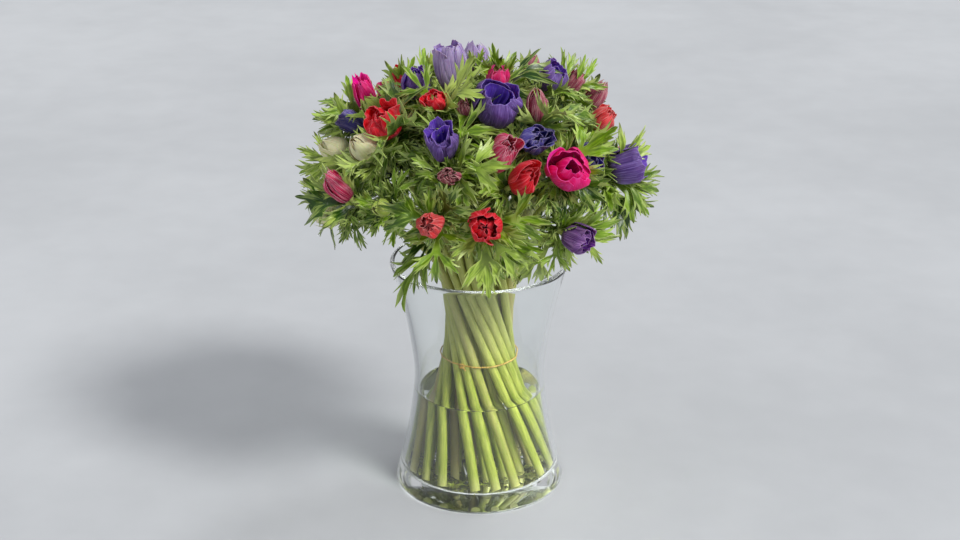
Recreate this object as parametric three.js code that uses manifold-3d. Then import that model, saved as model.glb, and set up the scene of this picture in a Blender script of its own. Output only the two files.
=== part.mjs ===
// A hand-tied bunch of anemones standing in water in a waisted glass vase.
// Millimetres, +Z up, the origin at the middle of the vase's underside, -Y towards the viewer.
import * as THREE from "three";
import { mergeVertices } from "three/addons/utils/BufferGeometryUtils.js";
import Module from "manifold-3d";

const wasm = await Module();
wasm.setup();

// Vase, by its outer wall: [radius, height] from the underside to the rim
const vaseWall = [
  [70.5, 0], [72.9, 3.5], [70.6, 12], [62.4, 47], [57.4, 80],
  [55.8, 100], [57.2, 120], [62.4, 152], [70, 186], [75, 203],
];
const wallThickness = 4.2;
const rimHeight = 204.5;
const floorHeight = 14; // the thick glass base, up to the floor inside
const floorRadius = 62;
const floorBend = [65, 18]; // [radius, height] where the floor turns up into the wall
const lowestInnerWall = 22;
const vaseSides = 40;

// Water, which fills the vase from its floor to the level line
const waterLevel = 86;
const touchGap = 0.3; // between pieces that touch on the real thing
const stemHoleGap = 0.35; // round each stem in the water
const holeOverrun = 4; // of the stem holes past both faces of the water

// Tie, a rubber band round the bunch below the height where its stems cross
const tieHeight = 120;
const bandRadius = 0.9;
const bandSides = 4;
const bandSteps = 36;

// Stems: each ring of the bunch where it is narrowest, from the middle outwards
const crossingHeight = 150;
const stemRings = [
  { count: 3, groups: 1, ringRadius: 3, stemRadius: 2.7 },
  { count: 9, groups: 2, ringRadius: 9.4, stemRadius: 3.3 },
  { count: 14, groups: 4, ringRadius: 16.8, stemRadius: 3.7 },
  { count: 18, groups: 5, ringRadius: 25.2, stemRadius: 4.2 },
];
const stemSides = 6;
const bractSides = [0, 2, 4]; // the sides of the stem that carry a bract
const pressedIn = 0.4; // how deep the stems of a group are pressed into each other there
const twistPerMm = 0.0154; // sideways lean of a straight stem for each mm from the bunch's axis
const straightTop = 186; // the stems run straight from their cut ends up to this height
const straightTaper = 0.94; // the stem's thickness there, as a share of that at its foot
const twistToBloom = 45; // degrees that a stem turns round the axis from the crossing to its bloom
const bendReach = 0.36; // how far the bend above the straight run holds on to each end's direction
const sharpBend = 0.7; // cosine of the bend from which a stem gets one more station
const bendStops = { gentle: [0.5], sharp: [0.34, 0.68] }; // stations along the bend
const neckRadius = 2.5; // the stem under the bloom
const pedicelLength = 9; // from the ruff to the bloom

// The head: an ellipsoid through the middles of the blooms
const headCentre = 262;
const headRadius = 128;
const headRise = 112;

// Bracts: the ruff of cut leaves below each bloom
const bractLength = 54;
const bractThickness = 0.9;
const ruffHeight = 1; // of the band of stem that the bracts grow from
const ruffRadius = 3;
const bractArch = 0.36; // of the rib, in bract lengths
const bractFold = 0.16; // how far the sides fold up
// [along, across] in bract lengths, tip by tip with the cuts between them
const bractOutline = [
  [0.42, -0.5], [0.42, -0.2], [0.82, -0.36], [0.6, -0.12], [1, 0],
  [0.6, 0.12], [0.82, 0.36], [0.42, 0.2], [0.42, 0.5],
];
// A bract takes the first of these poses, a share of its length and two angles, that is clear of the others
const bractLengths = [1, 0.85, 0.7, 0.55, 0.4];
const bractRises = [16, 30, 2, 44, -12, 58, -26, 70];
const bractTurns = [0, -16, 16, -32, 32];
const bractClearance = 0.5; // above and below the blade

// Petal forms: the belly's height and the tips' radius as shares of the bloom's, then the number of petals
// and whether they end bluntly
const forms = {
  bud: { belly: 0.42, tip: 0.22, petals: 5, blunt: false },
  closed: { belly: 0.5, tip: 0.5, petals: 6, blunt: false },
  cup: { belly: 0.58, tip: 0.82, petals: 6, blunt: true },
  open: { belly: 0.55, tip: 1.05, petals: 6, blunt: true },
};
const petalThickness = 0.9;
const petalStep = 1.7; // how far the outer petals stand proud of the inner ones
const petalEdgeDrop = 0.8; // the petal's edges lie closer to the bloom's axis than its middle
const petalWidth = { belly: 0.96, tip: 0.55 }; // as shares of one that would touch its neighbours
const petalScatter = { belly: 0.06, height: 0.12, tip: 0.12 }; // as shares of the bloom's height and radius
const leastTipRadius = 0.8;
const tipInset = 0.7; // the wall's thickness at the tips, as a share of that below
const bloomBase = 0.38; // radius of the bloom's foot as a share of the bloom's
const bloomCentre = 0.3; // height of the raised centre as a share of the bloom's
const uprightLean = 0.05; // sine of the lean below which a bloom counts as upright

const colours = {
  red: 0xc4161c, coral: 0xd8433f, crimson: 0xa3123c, pink: 0xd4145f, magenta: 0xd1067a,
  purple: 0x6b2a94, violet: 0x5a3fa8, navy: 0x3a2f80, lilac: 0xa692cc, mauve: 0xa8566f,
  cream: 0xd9d3a4, green: 0x9db04e,
};

// Each anemone: azimuth from the front towards +X and angle from the top, in degrees, on the head; how far
// out it is, as a share of the head; petal form, colour, radius and height; and the azimuth and angle from
// the top that it faces, if not straight outwards
const anemones = [
  [-103, 47, 1.03, "closed", "magenta", 11, 34, -80, 22],
  [-93, 30, 1, "closed", "red", 10, 26, -85, 20],
  [-60, 26, 1.02, "closed", "violet", 11, 26, -50, 14],
  [-48, 13, 1.07, "cup", "lilac", 12.5, 43, -40, 8],
  [-176, 17, 1, "closed", "lilac", 11, 26],
  [24, 17, 1.02, "closed", "pink", 12, 24],
  [13, 31, 1, "cup", "violet", 19, 37, 25, 34],
  [77, 27, 1.04, "open", "violet", 12, 26, 70, 34],
  [104, 38, 1.04, "closed", "mauve", 10, 24],
  [130, 26, 1, "bud", "mauve", 7, 18],
  [36, 35, 1.04, "bud", "mauve", 10, 31, 5, 20],
  [106, 49, 1.05, "bud", "mauve", 10.5, 28, 98, 32],
  [73, 51, 1.05, "closed", "coral", 11.5, 22],
  [27, 49, 1, "open", "navy", 13, 22],
  [11, 53, 1, "closed", "crimson", 13, 30, 40, 46],
  [18, 63, 1.02, "closed", "red", 13, 34, 45, 54],
  [35, 63, 1.05, "open", "magenta", 18.5, 28, 22, 62],
  [54, 62, 0.94, "open", "navy", 14, 26, 55, 60],
  [77, 73, 1.02, "cup", "violet", 17, 34, 84, 72],
  [37, 91, 1, "cup", "purple", 12.5, 27, 45, 94],
  [2, 81, 1, "cup", "red", 14, 26, 4, 76],
  [-17, 81, 1.02, "closed", "coral", 12, 22, -20, 74],
  [-12, 62, 1, "closed", "mauve", 10, 16],
  [-17, 49, 1, "cup", "violet", 15, 30, -10, 34],
  [-54, 46, 1.02, "closed", "red", 15, 29, -45, 36],
  [-98, 59, 0.98, "cup", "navy", 13, 28, -92, 62],
  [-92, 70, 1, "bud", "cream", 13, 26, -85, 55],
  [-58, 58, 1, "bud", "cream", 12.5, 26, -60, 48],
  [-61, 76, 1.04, "closed", "crimson", 10, 31, -80, 45],
  [-75, 94, 1, "bud", "cream", 11, 25, -78, 108],
  [-39, 79, 0.97, "bud", "green", 7.5, 17],
  [-30, 32, 1.02, "open", "red", 10, 16, -36, 30],
  [-10, 32, 0.98, "closed", "mauve", 7, 15],
  [-80, 44, 0.99, "bud", "green", 8, 20],
  [-132, 24, 1, "bud", "green", 8, 18],
  [150, 50, 1, "cup", "red", 14, 28],
  [-170, 41, 1, "cup", "violet", 15, 30],
  [-130, 52, 1, "closed", "pink", 12, 27],
  [132, 66, 1, "open", "purple", 15, 26],
  [174, 67, 1, "cup", "magenta", 16, 28],
  [-146, 71, 1, "cup", "red", 15, 28],
  [-116, 82, 1, "closed", "navy", 12, 28],
  [108, 80, 1, "closed", "crimson", 11, 28],
  [178, 90, 1, "cup", "coral", 14, 26],
];

const radians = THREE.MathUtils.degToRad;
const along = (azimuth, fromTop) =>
  new THREE.Vector3(
    Math.sin(radians(fromTop)) * Math.sin(radians(azimuth)),
    -Math.sin(radians(fromTop)) * Math.cos(radians(azimuth)),
    Math.cos(radians(fromTop)),
  );

// A scatter from 0 to 1 that is the same each time
const chance = (a, b) => {
  const v = Math.sin(a * 12.9898 + b * 78.233) * 43758.5453;
  return v - Math.floor(v);
};

// The smaller turn from one angle to another, in degrees
const turnBetween = (from, to) => ((((to - from) % 360) + 540) % 360) - 180;

// A closed geometry as a solid that can be cut and joined
function solidFrom(geometry) {
  const bare = new THREE.BufferGeometry().setAttribute("position", geometry.getAttribute("position"));
  if (geometry.index) bare.setIndex(geometry.index);
  const merged = mergeVertices(bare, 1e-4);
  const vertProperties = new Float32Array(merged.getAttribute("position").array);
  const triVerts = new Uint32Array(merged.index.array);
  return new wasm.Manifold(new wasm.Mesh({ numProp: 3, vertProperties, triVerts }));
}

function geometryFrom(solid) {
  const { vertProperties, triVerts, numProp } = solid.getMesh();
  const points = [];
  for (let i = 0; i < vertProperties.length; i += numProp)
    points.push(...vertProperties.subarray(i, i + 3));
  return new THREE.BufferGeometry()
    .setAttribute("position", new THREE.Float32BufferAttribute(points, 3))
    .setIndex(new THREE.BufferAttribute(triVerts, 1));
}

// A closed surface put together from points and faces
function surface(points, faces) {
  return new THREE.BufferGeometry()
    .setAttribute("position", new THREE.Float32BufferAttribute(points.flatMap((p) => p.toArray()), 3))
    .setIndex(faces.flat());
}

const quad = (a, b, c, d) => [[a, b, c], [a, c, d]];

function vaseGeometry() {
  const inner = vaseWall
    .filter(([, z]) => z > lowestInnerWall)
    .map(([r, z]) => new THREE.Vector2(r - wallThickness, z))
    .reverse();
  const rimRadius = vaseWall[vaseWall.length - 1][0] - wallThickness / 2;
  const profile = [
    new THREE.Vector2(0, 0),
    ...vaseWall.map(([r, z]) => new THREE.Vector2(r, z)),
    new THREE.Vector2(rimRadius, rimHeight),
    ...inner,
    new THREE.Vector2(...floorBend),
    new THREE.Vector2(floorRadius, floorHeight),
    new THREE.Vector2(0, floorHeight),
  ];
  return new THREE.LatheGeometry(profile, vaseSides).rotateX(Math.PI / 2);
}

// The water's radius at a height: the vase's inner one, less the gap
function waterRadius(z) {
  const i = Math.max(1, vaseWall.findIndex(([, h]) => h >= z));
  const [[r0, z0], [r1, z1]] = [vaseWall[i - 1], vaseWall[i]];
  return r0 + ((r1 - r0) * (z - z0)) / (z1 - z0) - wallThickness - touchGap;
}

// Where each stem of a ring crosses the others: groups pressed together, with equal room between the groups
function slotAngles({ count, groups, ringRadius, stemRadius }) {
  const lean = Math.atan(twistPerMm * ringRadius);
  const acrossFlats = 2 * stemRadius * Math.cos(Math.PI / stemSides);
  const pitch = acrossFlats / Math.cos(lean) - pressedIn;
  const step = THREE.MathUtils.radToDeg(2 * Math.asin(pitch / (2 * ringRadius)));
  const room = (360 - (count - groups) * step) / groups;
  const slots = [];
  let angle = 0;
  for (let i = 0; i < count; i++) {
    const group = Math.floor((i * groups) / count);
    slots.push({ angle, group });
    const nextGroup = Math.floor(((i + 1) * groups) / count);
    angle += nextGroup === group ? step : room;
  }
  return slots;
}

// The stems of one ring in the order of their blooms round the head, turned to wander least
function seatRing(ring, members) {
  const slots = slotAngles(ring);
  const sorted = [...members].sort((a, b) => a.azimuth - b.azimuth);
  let best = { cost: Infinity };
  for (let shift = 0; shift < slots.length; shift++) {
    const wishes = slots.map((_, i) => sorted[(i + shift) % slots.length].azimuth + twistToBloom);
    const first = turnBetween(slots[0].angle, wishes[0]);
    const others = slots.map((slot, i) => turnBetween(first, turnBetween(slot.angle, wishes[i])));
    const mean = others.reduce((sum, o) => sum + o, 0) / others.length;
    const cost = others.reduce((sum, o) => sum + (o - mean) ** 2, 0);
    if (cost < best.cost) best = { cost, shift, offset: first + mean };
  }
  slots.forEach((slot, i) => {
    const flower = sorted[(i + best.shift) % slots.length];
    const a = radians(slot.angle + best.offset);
    flower.crossing = new THREE.Vector3(Math.sin(a), -Math.cos(a), 0).multiplyScalar(ring.ringRadius);
    flower.group = ring.name + slot.group;
    flower.stemRadius = ring.stemRadius;
  });
}

// A point of the straight run of a stem at height z
function straightRun(flower, z) {
  const { x, y } = flower.crossing;
  const lean = (z - crossingHeight) * twistPerMm;
  return new THREE.Vector3(x + lean * y, y - lean * x, z);
}

// Where each anemone is: its bloom, its ruff and where its stem crosses the others
function layOut() {
  const flowers = anemones.map((row, i) => {
    const [azimuth, fromTop, depth, form, colour, radius, height, facingAzimuth, facingFromTop] = row;
    const middle = along(azimuth, fromTop)
      .multiply(new THREE.Vector3(headRadius, headRadius, headRise))
      .multiplyScalar(depth)
      .add(new THREE.Vector3(0, 0, headCentre));
    const axis = along(facingAzimuth ?? azimuth, facingFromTop ?? fromTop);
    const base = middle.clone().addScaledVector(axis, -height / 2);
    const ruff = base.clone().addScaledVector(axis, -pedicelLength);
    return { number: i + 1, azimuth, fromTop, form: forms[form], colour, radius, height, axis, base, ruff };
  });
  const byAngle = [...flowers].sort((a, b) => a.fromTop - b.fromTop);
  let first = 0;
  stemRings.forEach((ring, i) => {
    seatRing({ ...ring, name: "r" + i + "g" }, byAngle.slice(first, first + ring.count));
    first += ring.count;
  });
  return flowers;
}

// The stem's stations, [point, radius], from its cut end to just under the bloom; the band of its ruff is
// the one before the last
function stemStations({ crossing, stemRadius, ruff, axis, base }) {
  const tilt = Math.atan(twistPerMm * crossing.length());
  const foot = straightRun({ crossing }, floorHeight + touchGap + stemRadius * Math.sin(tilt));
  const leave = straightRun({ crossing }, straightTop);
  const heading = leave.clone().sub(foot).normalize();
  const reach = leave.distanceTo(ruff) * bendReach;
  const bend = new THREE.CubicBezierCurve3(
    leave,
    leave.clone().addScaledVector(heading, reach),
    ruff.clone().addScaledVector(axis, -reach),
    ruff,
  );
  const stops = heading.dot(axis) < sharpBend ? bendStops.sharp : bendStops.gentle;
  return [
    [foot, stemRadius],
    [leave, stemRadius * straightTaper],
    ...stops.map((t) => [bend.getPoint(t), THREE.MathUtils.lerp(stemRadius * straightTaper, neckRadius, t)]),
    [ruff.clone().addScaledVector(axis, -ruffHeight / 2), ruffRadius],
    [ruff.clone().addScaledVector(axis, ruffHeight / 2), ruffRadius],
    [base.clone().addScaledVector(axis, -touchGap), neckRadius],
  ];
}

// The corners of a tube of flat sides through stations, one ring of them for each station
function tubeRings(stations, sides) {
  let across = new THREE.Vector3(1, 0, 0);
  return stations.map(([centre, radius], i) => {
    const before = stations[Math.max(0, i - 1)][0];
    const after = stations[Math.min(stations.length - 1, i + 1)][0];
    const heading = after.clone().sub(before).normalize();
    across = across.clone().addScaledVector(heading, -across.dot(heading)).normalize();
    const other = heading.clone().cross(across);
    return Array.from({ length: sides }, (_, s) => {
      const [x, y] = [Math.cos((2 * Math.PI * s) / sides), Math.sin((2 * Math.PI * s) / sides)];
      return centre.clone().addScaledVector(across, radius * x).addScaledVector(other, radius * y);
    });
  });
}

// The tube's faces, as indices of its corners ring after ring; skip(ring, side) leaves faces open
function tubeFaces(rings, skip = () => false) {
  const sides = rings[0].length;
  const faces = [];
  for (let i = 0; i < rings.length - 1; i++)
    for (let s = 0; s < sides; s++) {
      const [a, b] = [i * sides + s, i * sides + ((s + 1) % sides)];
      if (!skip(i, s)) faces.push(...quad(a, b, b + sides, a + sides));
    }
  const last = (rings.length - 1) * sides;
  for (let s = 1; s < sides - 1; s++) {
    faces.push([0, s + 1, s]);
    faces.push([last, last + s, last + s + 1]);
  }
  return faces;
}

// The four corners on the stem that a bract grows from: lower left, lower right, upper right, upper left
function bractRoot(rings, side) {
  const [lower, upper] = rings.slice(-3, -1);
  const next = (side + 1) % stemSides;
  return [lower[side], lower[next], upper[next], upper[side]];
}

// The lower and upper points of a bract's blade: its cut outline, arched along the rib, raised and turned
function bladePoints(root, axis, { length, turn, rise }, thickness) {
  const size = bractLength * length;
  const middle = root.reduce((sum, p) => sum.add(p), new THREE.Vector3()).divideScalar(4);
  const across = root[1].clone().sub(root[0]).normalize();
  const outwards = across.clone().cross(axis).normalize();
  const posture = new THREE.Matrix4()
    .makeBasis(outwards, across, outwards.clone().cross(across))
    .setPosition(middle)
    .multiply(new THREE.Matrix4().makeRotationZ(radians(turn)))
    .multiply(new THREE.Matrix4().makeRotationY(-radians(rise)));
  const skin = (offset) =>
    bractOutline.map(([x, y]) => {
      const lift = bractArch * x * (1 - x) + bractFold * Math.abs(y);
      return new THREE.Vector3(x * size, y * size, lift * size + offset).applyMatrix4(posture);
    });
  return [skin(-thickness / 2), skin(thickness / 2)];
}

// The outline with its two points on the stem, split into triangles that serve both faces
const bractTriangles = THREE.ShapeUtils.triangulateShape(
  [[0, -0.03], ...bractOutline, [0, 0.03]].map(([x, y]) => new THREE.Vector2(x, y)),
  [],
);

// The faces of a blade, from the indices of its lower and upper points, each row ending at the stem
function bladeFaces(lower, upper) {
  const above = bractTriangles.map(([a, b, c]) => [upper[a], upper[b], upper[c]]);
  const below = bractTriangles.map(([a, b, c]) => [lower[a], lower[c], lower[b]]);
  const edge = lower.slice(1).flatMap((_, i) => quad(lower[i], lower[i + 1], upper[i + 1], upper[i]));
  return [...above, ...below, ...edge];
}

// A thickened bract on its own, to try a place with
function trialBract(root, axis, pose) {
  const [lower, upper] = bladePoints(root, axis, pose, bractThickness + 2 * bractClearance);
  const points = [root[0], ...lower, root[1], root[3], ...upper, root[2]];
  const row = lower.length + 2;
  const low = Array.from({ length: row }, (_, i) => i);
  const high = low.map((i) => i + row);
  return surface(points, [...bladeFaces(low, high), ...quad(low[row - 1], low[0], high[0], high[row - 1])]);
}

// A stem with its bracts as one skin
function leafyStemGeometry(rings, axis, poses) {
  const band = rings.length - 3;
  const points = rings.flat();
  const faces = tubeFaces(rings, (ring, side) => ring === band && poses[side]);
  Object.entries(poses).forEach(([side, pose]) => {
    const left = band * stemSides + Number(side);
    const right = band * stemSides + ((Number(side) + 1) % stemSides);
    const skins = bladePoints(bractRoot(rings, Number(side)), axis, pose, bractThickness);
    const [lower, upper] = skins.map((skin, k) => {
      const first = points.length;
      points.push(...skin);
      return [left + k * stemSides, ...skin.map((_, i) => first + i), right + k * stemSides];
    });
    faces.push(...bladeFaces(lower, upper));
  });
  return surface(points, faces);
}

// Axes for a piece that grows from a point along a direction: across, forwards and up
function basisAt(origin, axis, angle) {
  const side = new THREE.Vector3(0, 0, 1).cross(axis);
  if (side.length() < uprightLean) side.set(1, 0, 0);
  side.normalize();
  const front = axis.clone().cross(side);
  const x = side.clone().multiplyScalar(Math.cos(angle)).addScaledVector(front, Math.sin(angle));
  const y = axis.clone().cross(x);
  return new THREE.Matrix4().makeBasis(x, y, axis).setPosition(origin);
}

// A bloom as one closed skin: petals side by side round a raised centre, every other one standing proud
function bloomGeometry({ number, form, radius, height, base, axis }) {
  const { belly, tip, petals, blunt } = form;
  const points = [];
  const faces = [];
  const at = (r, a, z) => points.push(new THREE.Vector3(r * Math.cos(a), r * Math.sin(a), z)) - 1;
  const half = Math.PI / petals;
  const tipSides = blunt ? [-1, 1] : [0];
  const footRadius = bloomBase * radius;
  const foot = Array.from({ length: petals }, (_, k) => [
    at(footRadius, (2 * k - 1) * half, 0),
    at(footRadius - petalThickness, (2 * k - 1) * half, petalThickness),
  ]);
  const centre = at(0, 0, height * bloomCentre);
  for (let k = 0; k < petals; k++) {
    const middle = 2 * k * half;
    const step = k % 2 === 0 ? 0 : -petalStep;
    const bellyHeight = height * (belly + petalScatter.belly * (chance(number, k) - 0.5));
    const tipHeight = height * (1 - petalScatter.height * chance(number, k + 20));
    const tipReach = radius * (tip + petalScatter.tip * (chance(number, k + 40) - 0.5)) + step;
    const tipRadius = Math.max(leastTipRadius, tipReach);
    const [outer, inner] = [0, petalThickness].map((inset) => ({
      belly: [-1, 0, 1].map((s) => {
        const r = radius + step - inset - petalEdgeDrop * Math.abs(s);
        return at(r, middle + s * half * petalWidth.belly, bellyHeight);
      }),
      tips: tipSides.map((s) =>
        at(tipRadius - inset * tipInset, middle + s * half * petalWidth.tip, tipHeight),
      ),
    }));
    const last = outer.tips.length - 1;
    const wall = (l, r, { belly: [bl, bm, br], tips }) => [
      [l, bm, bl], [l, r, bm], [r, br, bm], [bl, bm, tips[0]], [bm, br, tips[last]],
      ...(blunt ? [[bm, tips[1], tips[0]]] : []),
    ];
    const [[ol, il], [or, ir]] = [foot[k], foot[(k + 1) % petals]];
    faces.push(...wall(ol, or, outer));
    faces.push(...wall(il, ir, inner).map(([a, b, c]) => [a, c, b]));
    faces.push(...quad(il, ol, outer.belly[0], inner.belly[0]));
    faces.push(...quad(inner.belly[0], outer.belly[0], outer.tips[0], inner.tips[0]));
    faces.push(...quad(or, ir, inner.belly[2], outer.belly[2]));
    faces.push(...quad(outer.belly[2], inner.belly[2], inner.tips[last], outer.tips[last]));
    if (blunt) faces.push(...quad(outer.tips[0], outer.tips[1], inner.tips[1], inner.tips[0]));
    faces.push([il, ir, centre]);
    if (k > 0 && k < petals - 1) faces.push([foot[0][0], foot[k + 1][0], foot[k][0]]);
  }
  return surface(points, faces).applyMatrix4(basisAt(base, axis, chance(number, 7) * Math.PI));
}

// Every solid that the bracts have to stay clear of
const placed = [];
const place = (owner, solid) => placed.push({ owner, solid, box: solid.boundingBox() });

const boxesMeet = (a, b) => [0, 1, 2].every((i) => a.min[i] < b.max[i] && b.min[i] < a.max[i]);

// Whether a solid is clear of everything placed so far, apart from what has the same owner
function isClear(solid, owner) {
  const box = solid.boundingBox();
  return placed.every((other) => {
    if (other.owner === owner || !boxesMeet(box, other.box)) return true;
    const common = solid.intersect(other.solid);
    const free = common.isEmpty();
    common.delete();
    return free;
  });
}

// A bract's pose, turned, raised or shortened until it is clear of its neighbours
function clearPose(flower, side) {
  const root = bractRoot(flower.rings, side);
  for (const length of bractLengths)
    for (const rise of bractRises)
      for (const turn of bractTurns) {
        const pose = { length, turn, rise };
        const trial = solidFrom(trialBract(root, flower.axis, pose));
        if (isClear(trial, flower.owner)) {
          place(flower.owner, trial);
          return pose;
        }
        trial.delete();
      }
  return undefined;
}

// The water, with a plain hole for each stem
function waterGeometry(flowers) {
  const wallHeights = vaseWall.map(([, z]) => z).filter((z) => z > lowestInnerWall && z < waterLevel);
  const profile = [
    new THREE.Vector2(0, floorHeight + touchGap),
    new THREE.Vector2(floorRadius - touchGap, floorHeight + touchGap),
    new THREE.Vector2(floorBend[0] - touchGap, floorBend[1]),
    ...wallHeights.map((z) => new THREE.Vector2(waterRadius(z), z)),
    new THREE.Vector2(waterRadius(waterLevel), waterLevel),
    new THREE.Vector2(0, waterLevel),
  ];
  const whole = solidFrom(new THREE.LatheGeometry(profile, vaseSides).rotateX(Math.PI / 2));
  const ends = [floorHeight - holeOverrun, waterLevel + holeOverrun];
  const holes = flowers.map((flower) => {
    const stations = ends.map((z) => [straightRun(flower, z), flower.stemRadius + stemHoleGap]);
    const rings = tubeRings(stations, stemSides);
    return solidFrom(surface(rings.flat(), tubeFaces(rings)));
  });
  const bodies = whole.subtract(wasm.Manifold.union(holes)).decompose();
  return geometryFrom(bodies.sort((a, b) => b.volume() - a.volume())[0]);
}

function bandGeometry() {
  const { ringRadius, stemRadius } = stemRings[stemRings.length - 1];
  const spread = Math.hypot(1, (tieHeight - crossingHeight) * twistPerMm);
  const radius = ringRadius * spread + stemRadius + touchGap + bandRadius;
  return new THREE.TorusGeometry(radius, bandRadius, bandSides, bandSteps).translate(0, 0, tieHeight);
}

const bunch = new THREE.Group();

// Adds a piece to the group as a mesh of its own
function addPiece(name, geometry, material) {
  const mesh = new THREE.Mesh(geometry, new THREE.MeshStandardMaterial(material));
  mesh.name = name;
  bunch.add(mesh);
}

const flowers = layOut();
for (const flower of flowers) {
  flower.owner = "stem" + flower.number;
  flower.rings = tubeRings(stemStations(flower), stemSides);
  flower.bloom = solidFrom(bloomGeometry(flower));
  place(flower.owner, solidFrom(surface(flower.rings.flat(), tubeFaces(flower.rings))));
  place("bloom" + flower.number, flower.bloom);
}
place("vase", solidFrom(vaseGeometry()));

// The ruffs fill up together, one bract of each at a time
for (const flower of flowers) flower.poses = {};
for (const side of bractSides)
  for (const flower of flowers) {
    const pose = clearPose(flower, side);
    if (pose) flower.poses[side] = pose;
  }

const glass = { color: 0xe8f0f0, roughness: 0.02, transparent: true, opacity: 0.3 };
const liquid = { color: 0xdfe6d8, roughness: 0.02, transparent: true, opacity: 0.4 };
addPiece("vase", vaseGeometry(), glass);
addPiece("water", waterGeometry(flowers), liquid);
addPiece("tie_band", bandGeometry(), { color: 0xd9a520, roughness: 0.5 });

const twoDigits = (n) => String(n).padStart(2, "0");
const groups = new Map();
for (const flower of flowers) {
  const petals = { color: colours[flower.colour], roughness: 0.65 };
  addPiece("bloom_" + twoDigits(flower.number), geometryFrom(flower.bloom), petals);
  const stem = solidFrom(leafyStemGeometry(flower.rings, flower.axis, flower.poses));
  groups.set(flower.group, [...(groups.get(flower.group) ?? []), stem]);
}
[...groups.keys()].sort().forEach((key, i) => {
  const together = geometryFrom(wasm.Manifold.union(groups.get(key)));
  addPiece("leafy_stems_" + twoDigits(i + 1), together, { color: 0x6f9a38, roughness: 0.6 });
});

export default bunch;
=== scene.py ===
from math import asin, atan, atan2, cos, degrees, hypot, pi, radians, sin, sqrt
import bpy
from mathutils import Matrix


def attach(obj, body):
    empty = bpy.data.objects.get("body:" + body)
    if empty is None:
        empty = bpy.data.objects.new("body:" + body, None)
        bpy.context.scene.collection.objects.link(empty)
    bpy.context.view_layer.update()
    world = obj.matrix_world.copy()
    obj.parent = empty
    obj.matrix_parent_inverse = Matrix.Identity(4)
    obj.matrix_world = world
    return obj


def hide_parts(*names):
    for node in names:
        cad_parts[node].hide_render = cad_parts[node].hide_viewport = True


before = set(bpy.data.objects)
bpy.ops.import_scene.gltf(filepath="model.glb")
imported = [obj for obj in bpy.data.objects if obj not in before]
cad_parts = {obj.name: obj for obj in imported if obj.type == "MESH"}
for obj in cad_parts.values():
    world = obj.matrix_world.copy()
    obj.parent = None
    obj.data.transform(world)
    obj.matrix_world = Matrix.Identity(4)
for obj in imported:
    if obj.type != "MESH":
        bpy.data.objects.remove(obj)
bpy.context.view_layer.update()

from types import SimpleNamespace

import bpy
import numpy as np
from mathutils import Matrix, Vector
from mathutils.geometry import delaunay_2d_cdt

scene = bpy.context.scene
MM = 0.001
TAU = 2 * pi

# The sizes below are those of the CAD source, in millimetres and degrees.
VASE_WALL = [
    (70.5, 0), (72.9, 3.5), (70.6, 12), (62.4, 47), (57.4, 80),
    (55.8, 100), (57.2, 120), (62.4, 152), (70, 186), (75, 203),
]
WALL = 4.2
RIM_HEIGHT = 204.5
FLOOR_HEIGHT = 14
FLOOR_RADIUS = 62
LOWEST_INNER_WALL = 22
WATER_LEVEL = 86
TOUCH_GAP = 0.3
TIE_HEIGHT = 120
BAND_RADIUS = 0.9
CROSSING_HEIGHT = 150
STEM_RINGS = [(3, 1, 3, 2.7), (9, 2, 9.4, 3.3), (14, 4, 16.8, 3.7), (18, 5, 25.2, 4.2)]
STEM_SIDES = 6
BRACT_SIDES = (0, 2, 4)
PRESSED_IN = 0.4
TWIST_PER_MM = 0.0154
STRAIGHT_TOP = 186
STRAIGHT_TAPER = 0.94
TWIST_TO_BLOOM = 45
BEND_REACH = 0.36
SHARP_BEND = 0.7
BEND_STOPS = {"gentle": (0.5,), "sharp": (0.34, 0.68)}
NECK_RADIUS = 2.5
PEDICEL_LENGTH = 9
HEAD_CENTRE = 262
HEAD_RADIUS = 128
HEAD_RISE = 112
BRACT_LENGTH = 54
BRACT_THICKNESS = 0.9
RUFF_HEIGHT = 1
RUFF_RADIUS = 3
BRACT_ARCH = 0.36
BRACT_FOLD = 0.16
BRACT_TIPS = [(0.42, -0.5), (0.82, -0.36), (1, 0), (0.82, 0.36), (0.42, 0.5)]
BRACT_LENGTHS = (1, 0.85, 0.7, 0.55, 0.4)
BRACT_RISES = (16, 30, 2, 44, -12, 58, -26, 70)
BRACT_TURNS = (0, -16, 16, -32, 32)
FORMS = {  # belly height, tip radius, petals, blunt ends
    "bud": (0.42, 0.22, 5, False),
    "closed": (0.5, 0.5, 6, False),
    "cup": (0.58, 0.82, 6, True),
    "open": (0.55, 1.05, 6, True),
}
PETAL_STEP = 1.7
PETAL_SCATTER = {"belly": 0.06, "height": 0.12, "tip": 0.12}
LEAST_TIP_RADIUS = 0.8
BLOOM_BASE = 0.38
UPRIGHT_LEAN = 0.05

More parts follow.
